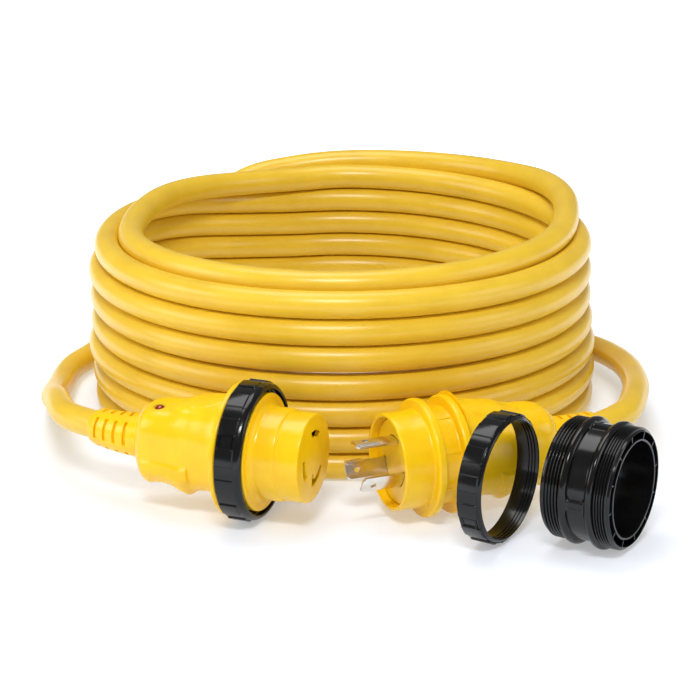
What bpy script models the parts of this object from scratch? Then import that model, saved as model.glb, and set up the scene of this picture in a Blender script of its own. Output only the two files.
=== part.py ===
"""Shore power cord: a 30 A cordset lying coiled, with its couplings on the surface in front.

Frame: metres, +Z up. The origin is on the surface, under the middle of the couplings
(the pieces other than the free cable). +X runs from the female connector to the loose
sleeve, +Y points away from the couplings, to the coil.

Each coupling is modelled about its own axis: local +X points out of its nose, local +Z
is up, and a local x is the distance from the coupling's own zero plane.
"""
from math import cos, pi, radians, sin

import bmesh
import bpy
from mathutils import Matrix, Vector

# ---------------------------------------------------------------- driving dimensions
GAP = 0.0003                     # clearance between pieces that touch

CABLE_RADIUS = 0.0074            # jacketed three-core cable, 14.8 mm across
COIL_CENTRE = Vector((-0.0136, 0.1982, 0.0))
COIL_RADIUS = 0.137              # to the middle of the cable
COIL_TURNS = 8
TOP_TURN_RADIUS = 0.126          # the top turn leans inwards on the one below
TAIL_RADIUS = 0.1535             # a tail that runs round the outside of the coil
TAIL_STEP = 2.0 * 2.0 * CABLE_RADIUS

RING_TEETH = 14                  # grip pads round a threaded ring
RING_LENGTH = 0.014
RING_RELIEF = 0.0008             # how far the pads stand proud

CONNECTOR_AXIS = Vector((-0.0512, 0.0057, 0.0362))   # middle of the lock ring's front face
CONNECTOR_YAW = radians(-20.5)
CONNECTOR_GRIP = 0.0506          # from its rear flange to its strain relief
CONNECTOR_RING_RADIUS = 0.0362
CONNECTOR_NECK_RADIUS = 0.0289
CONNECTOR_DISC_RADIUS = 0.0304
CONNECTOR_NOSE_RADIUS = 0.0230
CONNECTOR_NOSE_LENGTH = 0.0258

PLUG_AXIS = Vector((0.0272, 0.0117, 0.0309))        # middle of the front flange
PLUG_YAW = radians(180.0 + 22.0)
PLUG_GRIP = 0.0558
PLUG_BODY_RADIUS = 0.0252
PLUG_FLANGE_RADIUS = 0.0308
PLUG_FLANGE_SPACING = 0.0150
FLANGE_THICKNESS = 0.0044
PLUG_RIM = 0.0183                # front rim, ahead of the front flange
PLUG_RECESS = 0.0040

BLADE_CIRCLE = 0.0126            # radius on which contacts and blades sit
BLADE_WIDTH = 0.0098
BLADE_THICKNESS = 0.0017
BLADE_LENGTH = 0.0224            # out of the plug's face
# Where each pole sits, counted from local +Y towards +Z. The two faces mirror each other.
PLUG_POLES = {"hot": radians(90.0), "ground": radians(210.0), "neutral": radians(330.0)}
CONNECTOR_POLES = {"hot": radians(73.0), "neutral": radians(193.0), "ground": radians(305.0)}

LOOSE_RING_AXIS = Vector((0.0711, -0.0251, 0.0332))  # middle of its right-hand face
LOOSE_RING_YAW = radians(-32.0)
LOOSE_RING_RADIUS = 0.0332
LOOSE_RING_BORE = 0.0301
LOOSE_RING_LENGTH = 0.0130

SLEEVE_AXIS = Vector((0.1220, -0.0301, 0.0323))      # middle of its right-hand collar
SLEEVE_YAW = radians(-31.0)
SLEEVE_THREAD_RADIUS = 0.0308
SLEEVE_COLLAR_RADIUS = 0.0323
SLEEVE_BORE = 0.0242
SLEEVE_FRONT, SLEEVE_BACK = 0.0106, -0.0267
SLEEVE_COLLAR_SPACING = 0.0147

BOOT_LENGTH = 0.0296
BOOT_FRONT_RADIUS, BOOT_REAR_RADIUS = 0.0118, 0.0092
BOOT_BEND = radians(20.0)        # how far the loaded strain relief is bent sideways
CABLE_BORE = CABLE_RADIUS + 0.0007
CABLE_INSERT = 0.008             # how far the jacket reaches into the strain relief
STRIP_GAP = 0.0012               # between the jacket's end and the drawn start of a core
CORE_RADIUS = 0.0023
CORE_CIRCLE = 0.0034             # where the three cores lie in the cable
CRIMP_RADIUS, CRIMP_LENGTH = 0.0029, 0.0090
CAVITY_RADIUS = 0.0175

FINE, ROUND, SMALL = 36, 24, 12  # faces round a large, a middling and a small turned piece


# ---------------------------------------------------------------------- mesh helpers
def clear_scene():
    for existing in list(bpy.data.objects):
        bpy.data.objects.remove(existing, do_unlink=True)


def material(name, colour, roughness, metallic=0.0):
    made = bpy.data.materials.new(name)
    made.use_nodes = True
    shader = made.node_tree.nodes["Principled BSDF"]
    shader.inputs["Base Color"].default_value = (*colour, 1.0)
    shader.inputs["Roughness"].default_value = roughness
    shader.inputs["Metallic"].default_value = metallic
    return made


def axis_frame(origin, yaw):
    return Matrix.Translation(origin) @ Matrix.Rotation(yaw, 4, "Z")


def add_object(name, bm, finish, frame, smooth=True):
    """Turn a bmesh into a named object that stands at its own frame."""
    bmesh.ops.recalc_face_normals(bm, faces=bm.faces)
    mesh = bpy.data.meshes.new(name)
    bm.to_mesh(mesh)
    bm.free()
    if smooth:
        mesh.shade_smooth()
        mesh.set_sharp_from_angle(angle=radians(35.0))
    made = bpy.data.objects.new(name, mesh)
    made.data.materials.append(finish)
    made.matrix_world = frame
    bpy.context.scene.collection.objects.link(made)
    return made


def join_rings(bm, rings, closed):
    """Skin a list of vertex rings. A ring of one vertex is a pole."""
    for first, second in zip(rings, rings[1:] + rings[:1] if closed else rings[1:]):
        count = max(len(first), len(second))
        if count == 1:
            continue
        for k in range(count):
            corners = []
            for ring, step in ((first, k), (first, k + 1), (second, k + 1), (second, k)):
                corner = ring[step % len(ring)]
                if corner not in corners:
                    corners.append(corner)
            bm.faces.new(corners)


def lathe(profile, faces=ROUND):
    """Turn a closed outline of (x, radius) points about the local X axis."""
    bm = bmesh.new()
    rings = []
    for x, radius in profile:
        if radius <= 0.0:
            rings.append([bm.verts.new((x, 0.0, 0.0))])
            continue
        turn = [2.0 * pi * k / faces for k in range(faces)]
        rings.append([bm.verts.new((x, radius * cos(a), radius * sin(a))) for a in turn])
    join_rings(bm, rings, closed=True)
    return bm


def loft(sections, faces=FINE):
    """Skin sections (x, top, bottom, half width, squareness) along the local X axis."""
    bm = bmesh.new()
    rings = []
    for x, top, bottom, half_width, squareness in sections:
        ring = []
        for k in range(faces):
            a = 2.0 * pi * k / faces
            across, up = cos(a), sin(a)
            reach = (abs(across) ** squareness + abs(up) ** squareness) ** (-1.0 / squareness)
            height = top if up > 0.0 else bottom
            ring.append(bm.verts.new((x, half_width * across * reach, height * up * reach)))
        rings.append(ring)
    join_rings(bm, rings, closed=False)
    bm.faces.new(rings[0])
    bm.faces.new(rings[-1])
    return bm


def plate(corners, half_thickness):
    """Extrude an outline of (x, z) corners both ways along the local Y axis."""
    bm = bmesh.new()
    sides = [[bm.verts.new((x, side * half_thickness, z)) for x, z in corners]
             for side in (-1.0, 1.0)]
    for side in sides:
        bm.faces.new(side)
    for k in range(len(corners)):
        after = (k + 1) % len(corners)
        bm.faces.new((sides[0][k], sides[0][after], sides[1][after], sides[1][k]))
    return bm


def block(x_range, y_range, z_range):
    bm = bmesh.new()
    bmesh.ops.create_cube(bm, size=1.0)
    for vert in bm.verts:
        for axis, limits in enumerate((x_range, y_range, z_range)):
            vert.co[axis] = limits[0] if vert.co[axis] < 0.0 else limits[1]
    return bm


def cut(target, cutter_name, cutter_mesh, frame):
    """Take a hidden cutter out of an object."""
    cutter = add_object(cutter_name, cutter_mesh, target.data.materials[0], frame, smooth=False)
    cutter.hide_render = True
    cutter.display_type = "WIRE"
    boolean = target.modifiers.new(cutter_name, "BOOLEAN")
    boolean.operation = "DIFFERENCE"
    boolean.solver = "EXACT"
    boolean.object = cutter
    return cutter


def about_axis(angle):
    """Turn a piece drawn on the local +Z side to another place round the local X axis."""
    return Matrix.Rotation(angle - pi / 2.0, 4, "X")


def tube(name, points, radius, finish, frame, bevel_resolution=2):
    curve = bpy.data.curves.new(name, "CURVE")
    curve.dimensions = "3D"
    curve.bevel_depth = radius
    curve.bevel_resolution = bevel_resolution
    curve.use_fill_caps = True
    spline = curve.splines.new("POLY")
    spline.points.add(len(points) - 1)
    for point, place in zip(spline.points, points):
        point.co = (*place, 1.0)
    made = bpy.data.objects.new(name, curve)
    made.data.materials.append(finish)
    made.matrix_world = frame
    bpy.context.scene.collection.objects.link(made)
    return made


# ------------------------------------------------------------------ strain relief bend
def bend(point, start, side):
    """Bend what lies behind local x = start sideways, to side +1 or -1 along local Y."""
    x, y, z = point
    behind = start - x
    if behind <= 0.0:
        return Vector(point)
    radius = BOOT_LENGTH / BOOT_BEND
    a = behind / radius
    centre_x = start - radius * sin(a)
    centre_y = side * radius * (1.0 - cos(a))
    return Vector((centre_x + y * side * sin(a), centre_y + y * cos(a), z))


# -------------------------------------------------------------------- shared sub-parts
def grip_sections(flange_back, length):
    """The hand grip: a finger scoop by the flange, two finger bumps, a rounded shoulder."""
    shape = (  # share of the length behind the flange, then top, bottom, half width
        (0.000, 0.0280, 0.0240, 0.0245), (0.224, 0.0265, 0.0235, 0.0215),
        (0.376, 0.0245, 0.0245, 0.0200), (0.439, 0.0236, 0.0270, 0.0197),
        (0.511, 0.0227, 0.0262, 0.0195), (0.645, 0.0215, 0.0224, 0.0192),
        (0.753, 0.0206, 0.0214, 0.0188), (0.851, 0.0192, 0.0224, 0.0180),
        (0.905, 0.0172, 0.0214, 0.0166), (0.959, 0.0142, 0.0170, 0.0146),
        (1.000, 0.0122, 0.0126, 0.0124))
    return [(flange_back - length * share, top, bottom, width, 2.3)
            for share, top, bottom, width in reversed(shape)]


def round_section(x, radius):
    return (x, radius, radius, radius, 2.0)


def strain_relief(name, start, side, finish, frame):
    steps = 5
    outer = []
    for k in range(steps + 1):
        share = k / steps
        radius = BOOT_FRONT_RADIUS + (BOOT_REAR_RADIUS - BOOT_FRONT_RADIUS) * share
        outer.append((start - GAP - (BOOT_LENGTH - GAP) * share, radius))
    inner = [(x, CABLE_BORE) for x, radius in reversed(outer)]
    bm = lathe(outer + inner, ROUND)
    for vert in bm.verts:
        vert.co = bend(vert.co, start, side)
    return add_object(name, bm, finish, frame)


def crimp(name, x_front, pole_angle, finish, frame):
    profile = [(x_front, 0.0), (x_front, CRIMP_RADIUS),
               (x_front - CRIMP_LENGTH, CRIMP_RADIUS), (x_front - CRIMP_LENGTH, 0.0)]
    bm = lathe(profile, SMALL)
    bmesh.ops.translate(bm, verts=bm.verts, vec=(0.0, 0.0, BLADE_CIRCLE - 0.0016))
    bmesh.ops.transform(bm, matrix=about_axis(pole_angle), verts=bm.verts)
    return add_object(name, bm, finish, frame)


def core(name, x_front, boot_start, side, pole_angle, finish, frame):
    """One insulated core, from its crimp back to the end of the cable's jacket."""
    crimp_circle = BLADE_CIRCLE - 0.0016
    inside_end = boot_start - BOOT_LENGTH + CABLE_INSERT + STRIP_GAP
    stations = ((x_front, crimp_circle), (x_front - 0.006, crimp_circle),
                (x_front - 0.022, 0.0070), (boot_start + 0.010, CORE_CIRCLE),
                (boot_start, CORE_CIRCLE), (boot_start - 0.009, CORE_CIRCLE),
                (inside_end, CORE_CIRCLE))
    points = []
    for x, circle in stations:
        place = (x, circle * cos(pole_angle), circle * sin(pole_angle))
        points.append(bend(place, boot_start, side))
    return tube(name, points, CORE_RADIUS, finish, frame)


def threaded_ring(name, outer, bore, length, lip, finish, frame):
    """A knurled ring behind local x = 0. A lip, if any, narrows its back to hold it on."""
    chamfer, lip_length = 0.0012, 0.0026
    if lip:
        inner = [(-length, lip), (-length + lip_length, lip), (-length + lip_length, bore)]
    else:
        inner = [(-length, bore + 0.0006)]
    bm = bmesh.new()
    rings = []
    pitch = 2.0 * pi / RING_TEETH
    edge = 0.02 * pitch
    for tooth in range(RING_TEETH):
        middle = tooth * pitch - pi / 2.0
        stops = ((-0.25, outer), (0.0, outer), (0.25, outer))
        gaps = ((0.25, outer - RING_RELIEF), (0.5, outer - RING_RELIEF), (0.75, outer - RING_RELIEF))
        for number, (share, radius) in enumerate(stops + gaps):
            angle = middle + share * pitch
            angle += {2: -edge, 3: edge, 5: -edge, 0: edge}.get(number, 0.0)
            outline = [(0.0, bore), (0.0, outer - RING_RELIEF - chamfer),
                       (-chamfer, outer - RING_RELIEF), (-2.0 * chamfer, radius),
                       (-length + chamfer, radius), (-length, outer - 2.0 * chamfer)] + inner
            rings.append([bm.verts.new((x, r * cos(angle), r * sin(angle))) for x, r in outline])
    count = len(rings[0])
    for first, second in zip(rings, rings[1:] + rings[:1]):
        for k in range(count):
            after = (k + 1) % count
            bm.faces.new((first[k], first[after], second[after], second[k]))
    return add_object(name, bm, finish, frame)


# ------------------------------------------------------------------- female connector
def build_connector(finishes):
    frame = axis_frame(CONNECTOR_AXIS, CONNECTOR_YAW)
    yellow, metal, black = finishes["moulding"], finishes["contact"], finishes["ring"]
    flange_front = -RING_LENGTH - GAP
    flange_back = flange_front - 0.0032
    boot_start = flange_back - CONNECTOR_GRIP
    neck_front = -0.0043

    sections = grip_sections(flange_back, CONNECTOR_GRIP)
    for x, radius in ((flange_back, 0.0344), (flange_front, 0.0344),
                      (flange_front, CONNECTOR_NECK_RADIUS), (neck_front, CONNECTOR_NECK_RADIUS)):
        sections.append(round_section(x, radius))
    body = add_object("connector_body", loft(sections), yellow, frame)
    block_bore = 0.0211
    cavity = [(boot_start - 0.005, 0.0), (boot_start - 0.005, CABLE_BORE),
              (boot_start + 0.008, CABLE_BORE), (boot_start + 0.030, CAVITY_RADIUS),
              (flange_front - 0.0015, CAVITY_RADIUS), (flange_front - 0.0015, block_bore),
              (neck_front + 0.002, block_bore), (neck_front + 0.002, 0.0)]
    cut(body, "cut_connector_cavity", lathe(cavity), frame)

    # Front insulator: a disc that keeps the lock ring on, and the nose with its three slots.
    disc_back, nose_inner, front_wall = neck_front + GAP, 0.0208, 0.0030
    step = 0.0135
    profile = [(disc_back, nose_inner), (disc_back, CONNECTOR_DISC_RADIUS),
               (0.0, CONNECTOR_DISC_RADIUS), (0.0, 0.0270), (0.0022, 0.0245), (step - 0.001, 0.0238),
               (step, CONNECTOR_NOSE_RADIUS), (CONNECTOR_NOSE_LENGTH - 0.0008, CONNECTOR_NOSE_RADIUS),
               (CONNECTOR_NOSE_LENGTH, CONNECTOR_NOSE_RADIUS - 0.0008), (CONNECTOR_NOSE_LENGTH, 0.0),
               (CONNECTOR_NOSE_LENGTH - front_wall, 0.0),
               (CONNECTOR_NOSE_LENGTH - front_wall, nose_inner)]
    nose = add_object("connector_nose", lathe(profile, FINE), yellow, frame)

    block_back = flange_front - 0.0012
    block_front = CONNECTOR_NOSE_LENGTH - front_wall - GAP
    carrier = add_object(
        "connector_contact_carrier",
        lathe([(block_back, 0.0), (block_back, 0.0205), (block_front, 0.0205), (block_front, 0.0)]),
        finishes["insulator"], frame)

    slot_half, clip_half = 0.0012, 0.0023
    clip_front, clip_back = block_front - 0.0005, block_back - 0.0006
    for pole, angle in CONNECTOR_POLES.items():
        turned = frame @ about_axis(angle)
        slot = block((CONNECTOR_NOSE_LENGTH - front_wall - 0.001, CONNECTOR_NOSE_LENGTH + 0.001),
                     (-BLADE_WIDTH / 2.0 - 0.0004, BLADE_WIDTH / 2.0 + 0.0004),
                     (BLADE_CIRCLE - slot_half, BLADE_CIRCLE + slot_half))
        cut(nose, "cut_nose_slot_" + pole, slot, turned)
        pocket = block((block_back - 0.001, block_front + 0.001),
                       (-BLADE_WIDTH / 2.0 - 0.0005, BLADE_WIDTH / 2.0 + 0.0005),
                       (BLADE_CIRCLE - clip_half - 0.0004, BLADE_CIRCLE + clip_half + 0.0004))
        cut(carrier, "cut_carrier_pocket_" + pole, pocket, turned)
        low, high = BLADE_CIRCLE - clip_half, BLADE_CIRCLE + clip_half
        wall = clip_half - slot_half
        outline = [(clip_back, low), (clip_front, low), (clip_front, low + wall),
                   (clip_back + 0.006, low + wall), (clip_back + 0.006, high - wall),
                   (clip_front, high - wall), (clip_front, high), (clip_back, high)]
        add_object("connector_contact_" + pole, plate(outline, BLADE_WIDTH / 2.0), metal,
                   turned, smooth=False)
        crimp("connector_crimp_" + pole, clip_back - GAP, angle, metal, frame)
        core("connector_core_" + pole, clip_back - CRIMP_LENGTH - 2.0 * GAP, boot_start, 1.0,
             angle, finishes["core_" + pole], frame)

    threaded_ring("connector_lock_ring", CONNECTOR_RING_RADIUS, 0.0324, RING_LENGTH,
                  CONNECTOR_NECK_RADIUS + 0.0005, black, frame)
    strain_relief("connector_strain_relief", boot_start, 1.0, yellow, frame)

    # Power indicator: a lens in the shoulder and its small circuit board.
    lamp_x, lamp_angle, lens_radius = -0.0558, radians(109.0), 0.0022
    lamp_frame = frame @ about_axis(lamp_angle) @ Matrix.Translation((lamp_x, 0.0, 0.0))
    upright = Matrix.Rotation(-pi / 2.0, 4, "Y")
    hole = [(0.004, 0.0), (0.004, lens_radius + GAP), (0.030, lens_radius + GAP), (0.030, 0.0)]
    cut(body, "cut_lens_hole", lathe(hole, SMALL), lamp_frame @ upright)
    lens = [(0.0130, 0.0), (0.0130, lens_radius), (0.0206, lens_radius),
            (0.0211, lens_radius * 0.6), (0.0212, 0.0)]
    add_object("connector_lamp_lens", lathe(lens, SMALL), finishes["lens"], lamp_frame @ upright)
    add_object("connector_lamp_board", block((-0.0440, -0.0350), (-0.004, 0.004), (0.0124, 0.0134)),
               finishes["board"], frame, smooth=False)
    return frame, boot_start


# -------------------------------------------------------------------------- male plug
def build_plug(finishes):
    frame = axis_frame(PLUG_AXIS, PLUG_YAW)
    yellow, metal = finishes["moulding"], finishes["blade"]
    half = FLANGE_THICKNESS / 2.0
    back_flange = -PLUG_FLANGE_SPACING
    flange_back = back_flange - half
    boot_start = flange_back - PLUG_GRIP
    block_back, recess_floor = -0.0080, PLUG_RIM - PLUG_RECESS

    sections = grip_sections(flange_back, PLUG_GRIP)
    for x, radius in ((flange_back, PLUG_FLANGE_RADIUS), (back_flange + half, PLUG_FLANGE_RADIUS),
                      (back_flange + half, PLUG_BODY_RADIUS), (-half, PLUG_BODY_RADIUS),
                      (-half, PLUG_FLANGE_RADIUS), (half, PLUG_FLANGE_RADIUS),
                      (half, PLUG_BODY_RADIUS), (PLUG_RIM - 0.0008, PLUG_BODY_RADIUS),
                      (PLUG_RIM, PLUG_BODY_RADIUS - 0.0006)):
        sections.append(round_section(x, radius))
    body = add_object("plug_body", loft(sections), yellow, frame)
    block_radius = 0.0220
    cavity = [(boot_start - 0.005, 0.0), (boot_start - 0.005, CABLE_BORE),
              (boot_start + 0.008, CABLE_BORE), (boot_start + 0.030, CAVITY_RADIUS),
              (block_back - GAP, CAVITY_RADIUS), (block_back - GAP, block_radius + GAP),
              (recess_floor, block_radius + GAP), (recess_floor, 0.0232),
              (PLUG_RIM + 0.001, 0.0232), (PLUG_RIM + 0.001, 0.0)]
    cut(body, "cut_plug_cavity", lathe(cavity, FINE), frame)

    face = add_object(
        "plug_face",
        lathe([(block_back, 0.0), (block_back, block_radius), (recess_floor, block_radius),
               (recess_floor, 0.0)], FINE),
        yellow, frame)
    blade_back = block_back - 0.0025
    blade_front = recess_floor + BLADE_LENGTH
    nip, half_width = 0.0016, BLADE_WIDTH / 2.0
    for pole, angle in PLUG_POLES.items():
        turned = frame @ about_axis(angle)
        slot = block((block_back - 0.001, recess_floor + 0.001),
                     (-half_width - GAP, half_width + GAP),
                     (BLADE_CIRCLE - BLADE_THICKNESS / 2.0 - GAP,
                      BLADE_CIRCLE + BLADE_THICKNESS / 2.0 + GAP))
        cut(face, "cut_face_slot_" + pole, slot, turned)
        # A blade is drawn flat, with its hooked heel, then laid on the blade circle.
        hook = 0.0024 if pole == "ground" else 0.0
        notch_front = recess_floor + 0.0085
        outline = [(blade_back, -half_width), (blade_front - nip, -half_width),
                   (blade_front, -half_width + nip), (blade_front, half_width - nip + hook),
                   (blade_front - nip, half_width + hook), (notch_front, half_width + hook),
                   (notch_front, half_width), (blade_back, half_width)]
        if not hook:
            del outline[5:7]
            outline.insert(5, (notch_front, half_width))
        bm = plate(outline, BLADE_THICKNESS / 2.0)
        lay = turned @ Matrix.Translation((0.0, 0.0, BLADE_CIRCLE)) @ Matrix.Rotation(
            -pi / 2.0, 4, "X")
        blade = add_object("plug_blade_" + pole, bm, metal, lay, smooth=False)
        hole = lathe([(-0.003, 0.0), (-0.003, 0.0014), (0.003, 0.0014), (0.003, 0.0)], SMALL)
        across = Matrix.Translation((blade_front - 0.0062, 0.0, 0.0)) @ Matrix.Rotation(
            pi / 2.0, 4, "Z")
        cut(blade, "cut_blade_hole_" + pole, hole, lay @ across)
        crimp("plug_crimp_" + pole, blade_back - GAP, angle, finishes["contact"], frame)
        core("plug_core_" + pole, blade_back - CRIMP_LENGTH - 2.0 * GAP, boot_start, -1.0,
             angle, finishes["core_" + pole], frame)
    strain_relief("plug_strain_relief", boot_start, -1.0, yellow, frame)
    return frame, boot_start


# ---------------------------------------------------------------- loose ring and sleeve
def build_loose_pieces(finishes):
    black = finishes["ring"]
    threaded_ring("plug_lock_ring", LOOSE_RING_RADIUS, LOOSE_RING_BORE, LOOSE_RING_LENGTH, 0.0,
                  black, axis_frame(LOOSE_RING_AXIS, LOOSE_RING_YAW))

    frame = axis_frame(SLEEVE_AXIS, SLEEVE_YAW)
    collar, thread, channel = SLEEVE_COLLAR_RADIUS, SLEEVE_THREAD_RADIUS, 0.0298
    half, ramp = 0.0013, 0.0010
    outer = []
    for middle in (-SLEEVE_COLLAR_SPACING, 0.0):
        before = thread if middle else channel
        after = channel if middle else thread
        outer += [(middle - half - ramp, before), (middle - half, collar),
                  (middle + half, collar), (middle + half + ramp, after)]
    lead = 0.0010
    outer = [(SLEEVE_BACK, thread - lead), (SLEEVE_BACK + lead, thread)] + outer + [
        (SLEEVE_FRONT - lead, thread), (SLEEVE_FRONT, thread - lead)]
    # A groove between the outer and the inner wall opens at each end.
    groove_outer, groove_inner, groove_depth = 0.0284, 0.0254, 0.0120
    front_groove = [(SLEEVE_FRONT, groove_outer), (SLEEVE_FRONT - groove_depth, groove_outer),
                    (SLEEVE_FRONT - groove_depth, groove_inner), (SLEEVE_FRONT, groove_inner)]
    back_groove = [(SLEEVE_BACK, groove_inner), (SLEEVE_BACK + groove_depth, groove_inner),
                   (SLEEVE_BACK + groove_depth, groove_outer), (SLEEVE_BACK, groove_outer)]
    profile = outer + front_groove + [(SLEEVE_FRONT, SLEEVE_BORE), (SLEEVE_BACK, SLEEVE_BORE)]
    profile += back_groove
    add_object("coupling_sleeve", lathe(profile, FINE), black, frame)


# ------------------------------------------------------------------------- free cable
def around_coil(degrees, radius, height):
    """A point beside the coil: degrees counted from +X towards +Y."""
    a = radians(degrees)
    return COIL_CENTRE + Vector((radius * cos(a), radius * sin(a), height))


def smooth_route(route, step):
    """Points a step apart on a centripetal Catmull-Rom curve through the route.

    The first stretch lies straight in a strain relief, and is kept as it is.
    """
    dense = []
    guides = route + [route[-1] * 2.0 - route[-2]]
    for p0, p1, p2, p3 in zip(guides, guides[1:], guides[2:], guides[3:]):
        t1 = (p1 - p0).length ** 0.5
        t2 = t1 + (p2 - p1).length ** 0.5
        t3 = t2 + (p3 - p2).length ** 0.5
        for k in range(24):
            t = t1 + (t2 - t1) * k / 24.0
            a1 = p0 * ((t1 - t) / t1) + p1 * (t / t1)
            a2 = p1 * ((t2 - t) / (t2 - t1)) + p2 * ((t - t1) / (t2 - t1))
            a3 = p2 * ((t3 - t) / (t3 - t2)) + p3 * ((t - t2) / (t3 - t2))
            b1 = a1 * ((t2 - t) / t2) + a2 * (t / t2)
            b2 = a2 * ((t3 - t) / (t3 - t1)) + a3 * ((t - t1) / (t3 - t1))
            dense.append(b1 * ((t2 - t) / (t2 - t1)) + b2 * ((t - t1) / (t2 - t1)))
    dense.append(route[-1])
    length = sum((b - a).length for a, b in zip(dense, dense[1:]))
    count = max(2, round(length / step))
    points, travelled, target = [route[0], dense[0]], 0.0, length / count
    for a, b in zip(dense, dense[1:]):
        piece = (b - a).length
        while travelled + piece >= target and len(points) <= count:
            points.append(a.lerp(b, (target - travelled) / piece))
            target += length / count
        travelled += piece
    points.append(route[-1])
    return points


def build_cable(finishes, connector, plug):
    jacket, world = finishes["jacket"], Matrix.Identity(4)
    pitch = 2.0 * CABLE_RADIUS
    inner, outer = COIL_RADIUS - CABLE_RADIUS, COIL_RADIUS + CABLE_RADIUS
    top_inner, top_outer = TOP_TURN_RADIUS - CABLE_RADIUS, TOP_TURN_RADIUS + CABLE_RADIUS
    stack = (COIL_TURNS - 1) * pitch - 0.004
    top = stack + 0.0125
    # Drawn with the height as x, then stood up.
    profile = [(0.0, inner), (0.0, outer), (stack - 0.003, outer), (stack, top_outer + 0.003),
               (top - 0.002, top_outer), (top, top_outer - 0.003), (top, top_inner + 0.003),
               (top - 0.003, top_inner), (stack - 0.006, top_inner), (stack - 0.015, inner)]
    stand = Matrix.Translation(COIL_CENTRE) @ Matrix.Rotation(-pi / 2.0, 4, "Y")
    add_object("cable_coil", lathe(profile, FINE), jacket, stand)

    floor = CABLE_RADIUS
    frame, boot_start = connector
    leave = [frame @ bend((boot_start - BOOT_LENGTH + back, 0.0, 0.0), boot_start, 1.0)
             for back in (CABLE_INSERT, 0.0)]
    tail = leave + [
        Vector((-0.1588, 0.0652, 0.0345)), Vector((-0.1693, 0.1017, 0.0300)),
        Vector((-0.1766, 0.1452, 0.0172)), Vector((-0.1783, 0.1842, 0.0092)),
        Vector((-0.1756, 0.2232, floor + GAP)), around_coil(158.0, 0.1590, 0.0095),
        around_coil(147.0, 0.1545, 0.0210), around_coil(136.0, TAIL_RADIUS, 0.0430),
        around_coil(125.0, TAIL_RADIUS, 0.0660), around_coil(113.0, TAIL_RADIUS, 0.0875),
        around_coil(101.0, 0.1520, 0.1000)]
    tube("cable_tail_connector", smooth_route(tail, TAIL_STEP), CABLE_RADIUS, jacket, world, 3)

    frame, boot_start = plug
    leave = [frame @ bend((boot_start - BOOT_LENGTH + back, 0.0, 0.0), boot_start, -1.0)
             for back in (CABLE_INSERT, 0.0)]
    tail = leave + [
        Vector((0.1384, 0.0752, 0.0315)), Vector((0.1489, 0.1117, 0.0295)),
        Vector((0.1534, 0.1512, 0.0250)), Vector((0.1519, 0.1922, 0.0205)),
        Vector((0.1429, 0.2332, 0.0150)), around_coil(25.0, 0.1590, 0.0095)]
    tail += [around_coil(degrees, TAIL_RADIUS, floor + GAP) for degrees in (38, 53, 68, 83, 98, 113)]
    tube("cable_tail_plug", smooth_route(tail, TAIL_STEP), CABLE_RADIUS, jacket, world, 3)


# ------------------------------------------------------------------------------- build
def build():
    clear_scene()
    finishes = {
        "jacket": material("cable_jacket", (0.80, 0.52, 0.03), 0.45),
        "moulding": material("yellow_moulding", (0.93, 0.55, 0.005), 0.30),
        "insulator": material("contact_insulator", (0.05, 0.05, 0.05), 0.50),
        "ring": material("black_ring", (0.012, 0.012, 0.013), 0.22),
        "contact": material("brass_contact", (0.70, 0.48, 0.18), 0.30, 1.0),
        "blade": material("nickel_blade", (0.72, 0.69, 0.64), 0.22, 1.0),
        "lens": material("lamp_lens", (0.55, 0.01, 0.01), 0.15),
        "board": material("lamp_board", (0.02, 0.16, 0.05), 0.50),
        "core_hot": material("core_black", (0.01, 0.01, 0.01), 0.40),
        "core_neutral": material("core_white", (0.80, 0.80, 0.78), 0.40),
        "core_ground": material("core_green", (0.02, 0.25, 0.05), 0.40),
    }
    connector = build_connector(finishes)
    plug = build_plug(finishes)
    build_loose_pieces(finishes)
    build_cable(finishes, connector, plug)


build()
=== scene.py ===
"""The looks of a coiled shore power cord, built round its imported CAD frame.

The frame is in metres, +Z up. Each coupling is drawn about its own axis, local +X out
of its nose and local +Z up, and is then stood in its place, so that every finished
piece has its object at the origin and its place in its mesh.

A local angle is counted from +Y towards +Z: 90 degrees is the top of a coupling.
"""
import logging
from abc import ABC, abstractmethod
from dataclasses import dataclass, field
from enum import Enum
from math import acos, cos, degrees, exp, hypot, pi, radians, sin, sqrt
from typing import Callable, Iterable, Sequence

import bmesh
import bpy
from mathutils import Matrix, Vector


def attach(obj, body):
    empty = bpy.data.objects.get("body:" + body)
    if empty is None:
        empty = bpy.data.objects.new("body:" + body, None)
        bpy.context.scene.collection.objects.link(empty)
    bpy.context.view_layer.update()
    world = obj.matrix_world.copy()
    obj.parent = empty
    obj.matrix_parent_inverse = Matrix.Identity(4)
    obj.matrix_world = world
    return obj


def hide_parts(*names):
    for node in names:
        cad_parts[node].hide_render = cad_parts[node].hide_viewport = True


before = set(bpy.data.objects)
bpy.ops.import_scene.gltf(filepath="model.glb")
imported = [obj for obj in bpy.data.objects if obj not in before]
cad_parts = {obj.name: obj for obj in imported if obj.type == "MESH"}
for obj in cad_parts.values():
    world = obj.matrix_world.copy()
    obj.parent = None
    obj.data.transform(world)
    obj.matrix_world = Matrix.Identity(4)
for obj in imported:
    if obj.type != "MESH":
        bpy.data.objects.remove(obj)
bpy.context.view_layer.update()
LOG = logging.getLogger("shore_power_cord")

MM = 0.001
Point = tuple[float, float]
Mesh = bpy.types.Mesh
Material = bpy.types.Material

CABLE_RADIUS = 7.4 * MM
FLOOR_GAP = 0.3 * MM
BOOT_LENGTH = 29.6 * MM
BOOT_BEND = radians(20.0)
CABLE_BORE = 8.1 * MM
CABLE_INSERT = 8.0 * MM
CAVITY_RADIUS = 17.5 * MM
BLADE_CIRCLE = 12.6 * MM
TOP = radians(90.0)


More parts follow.
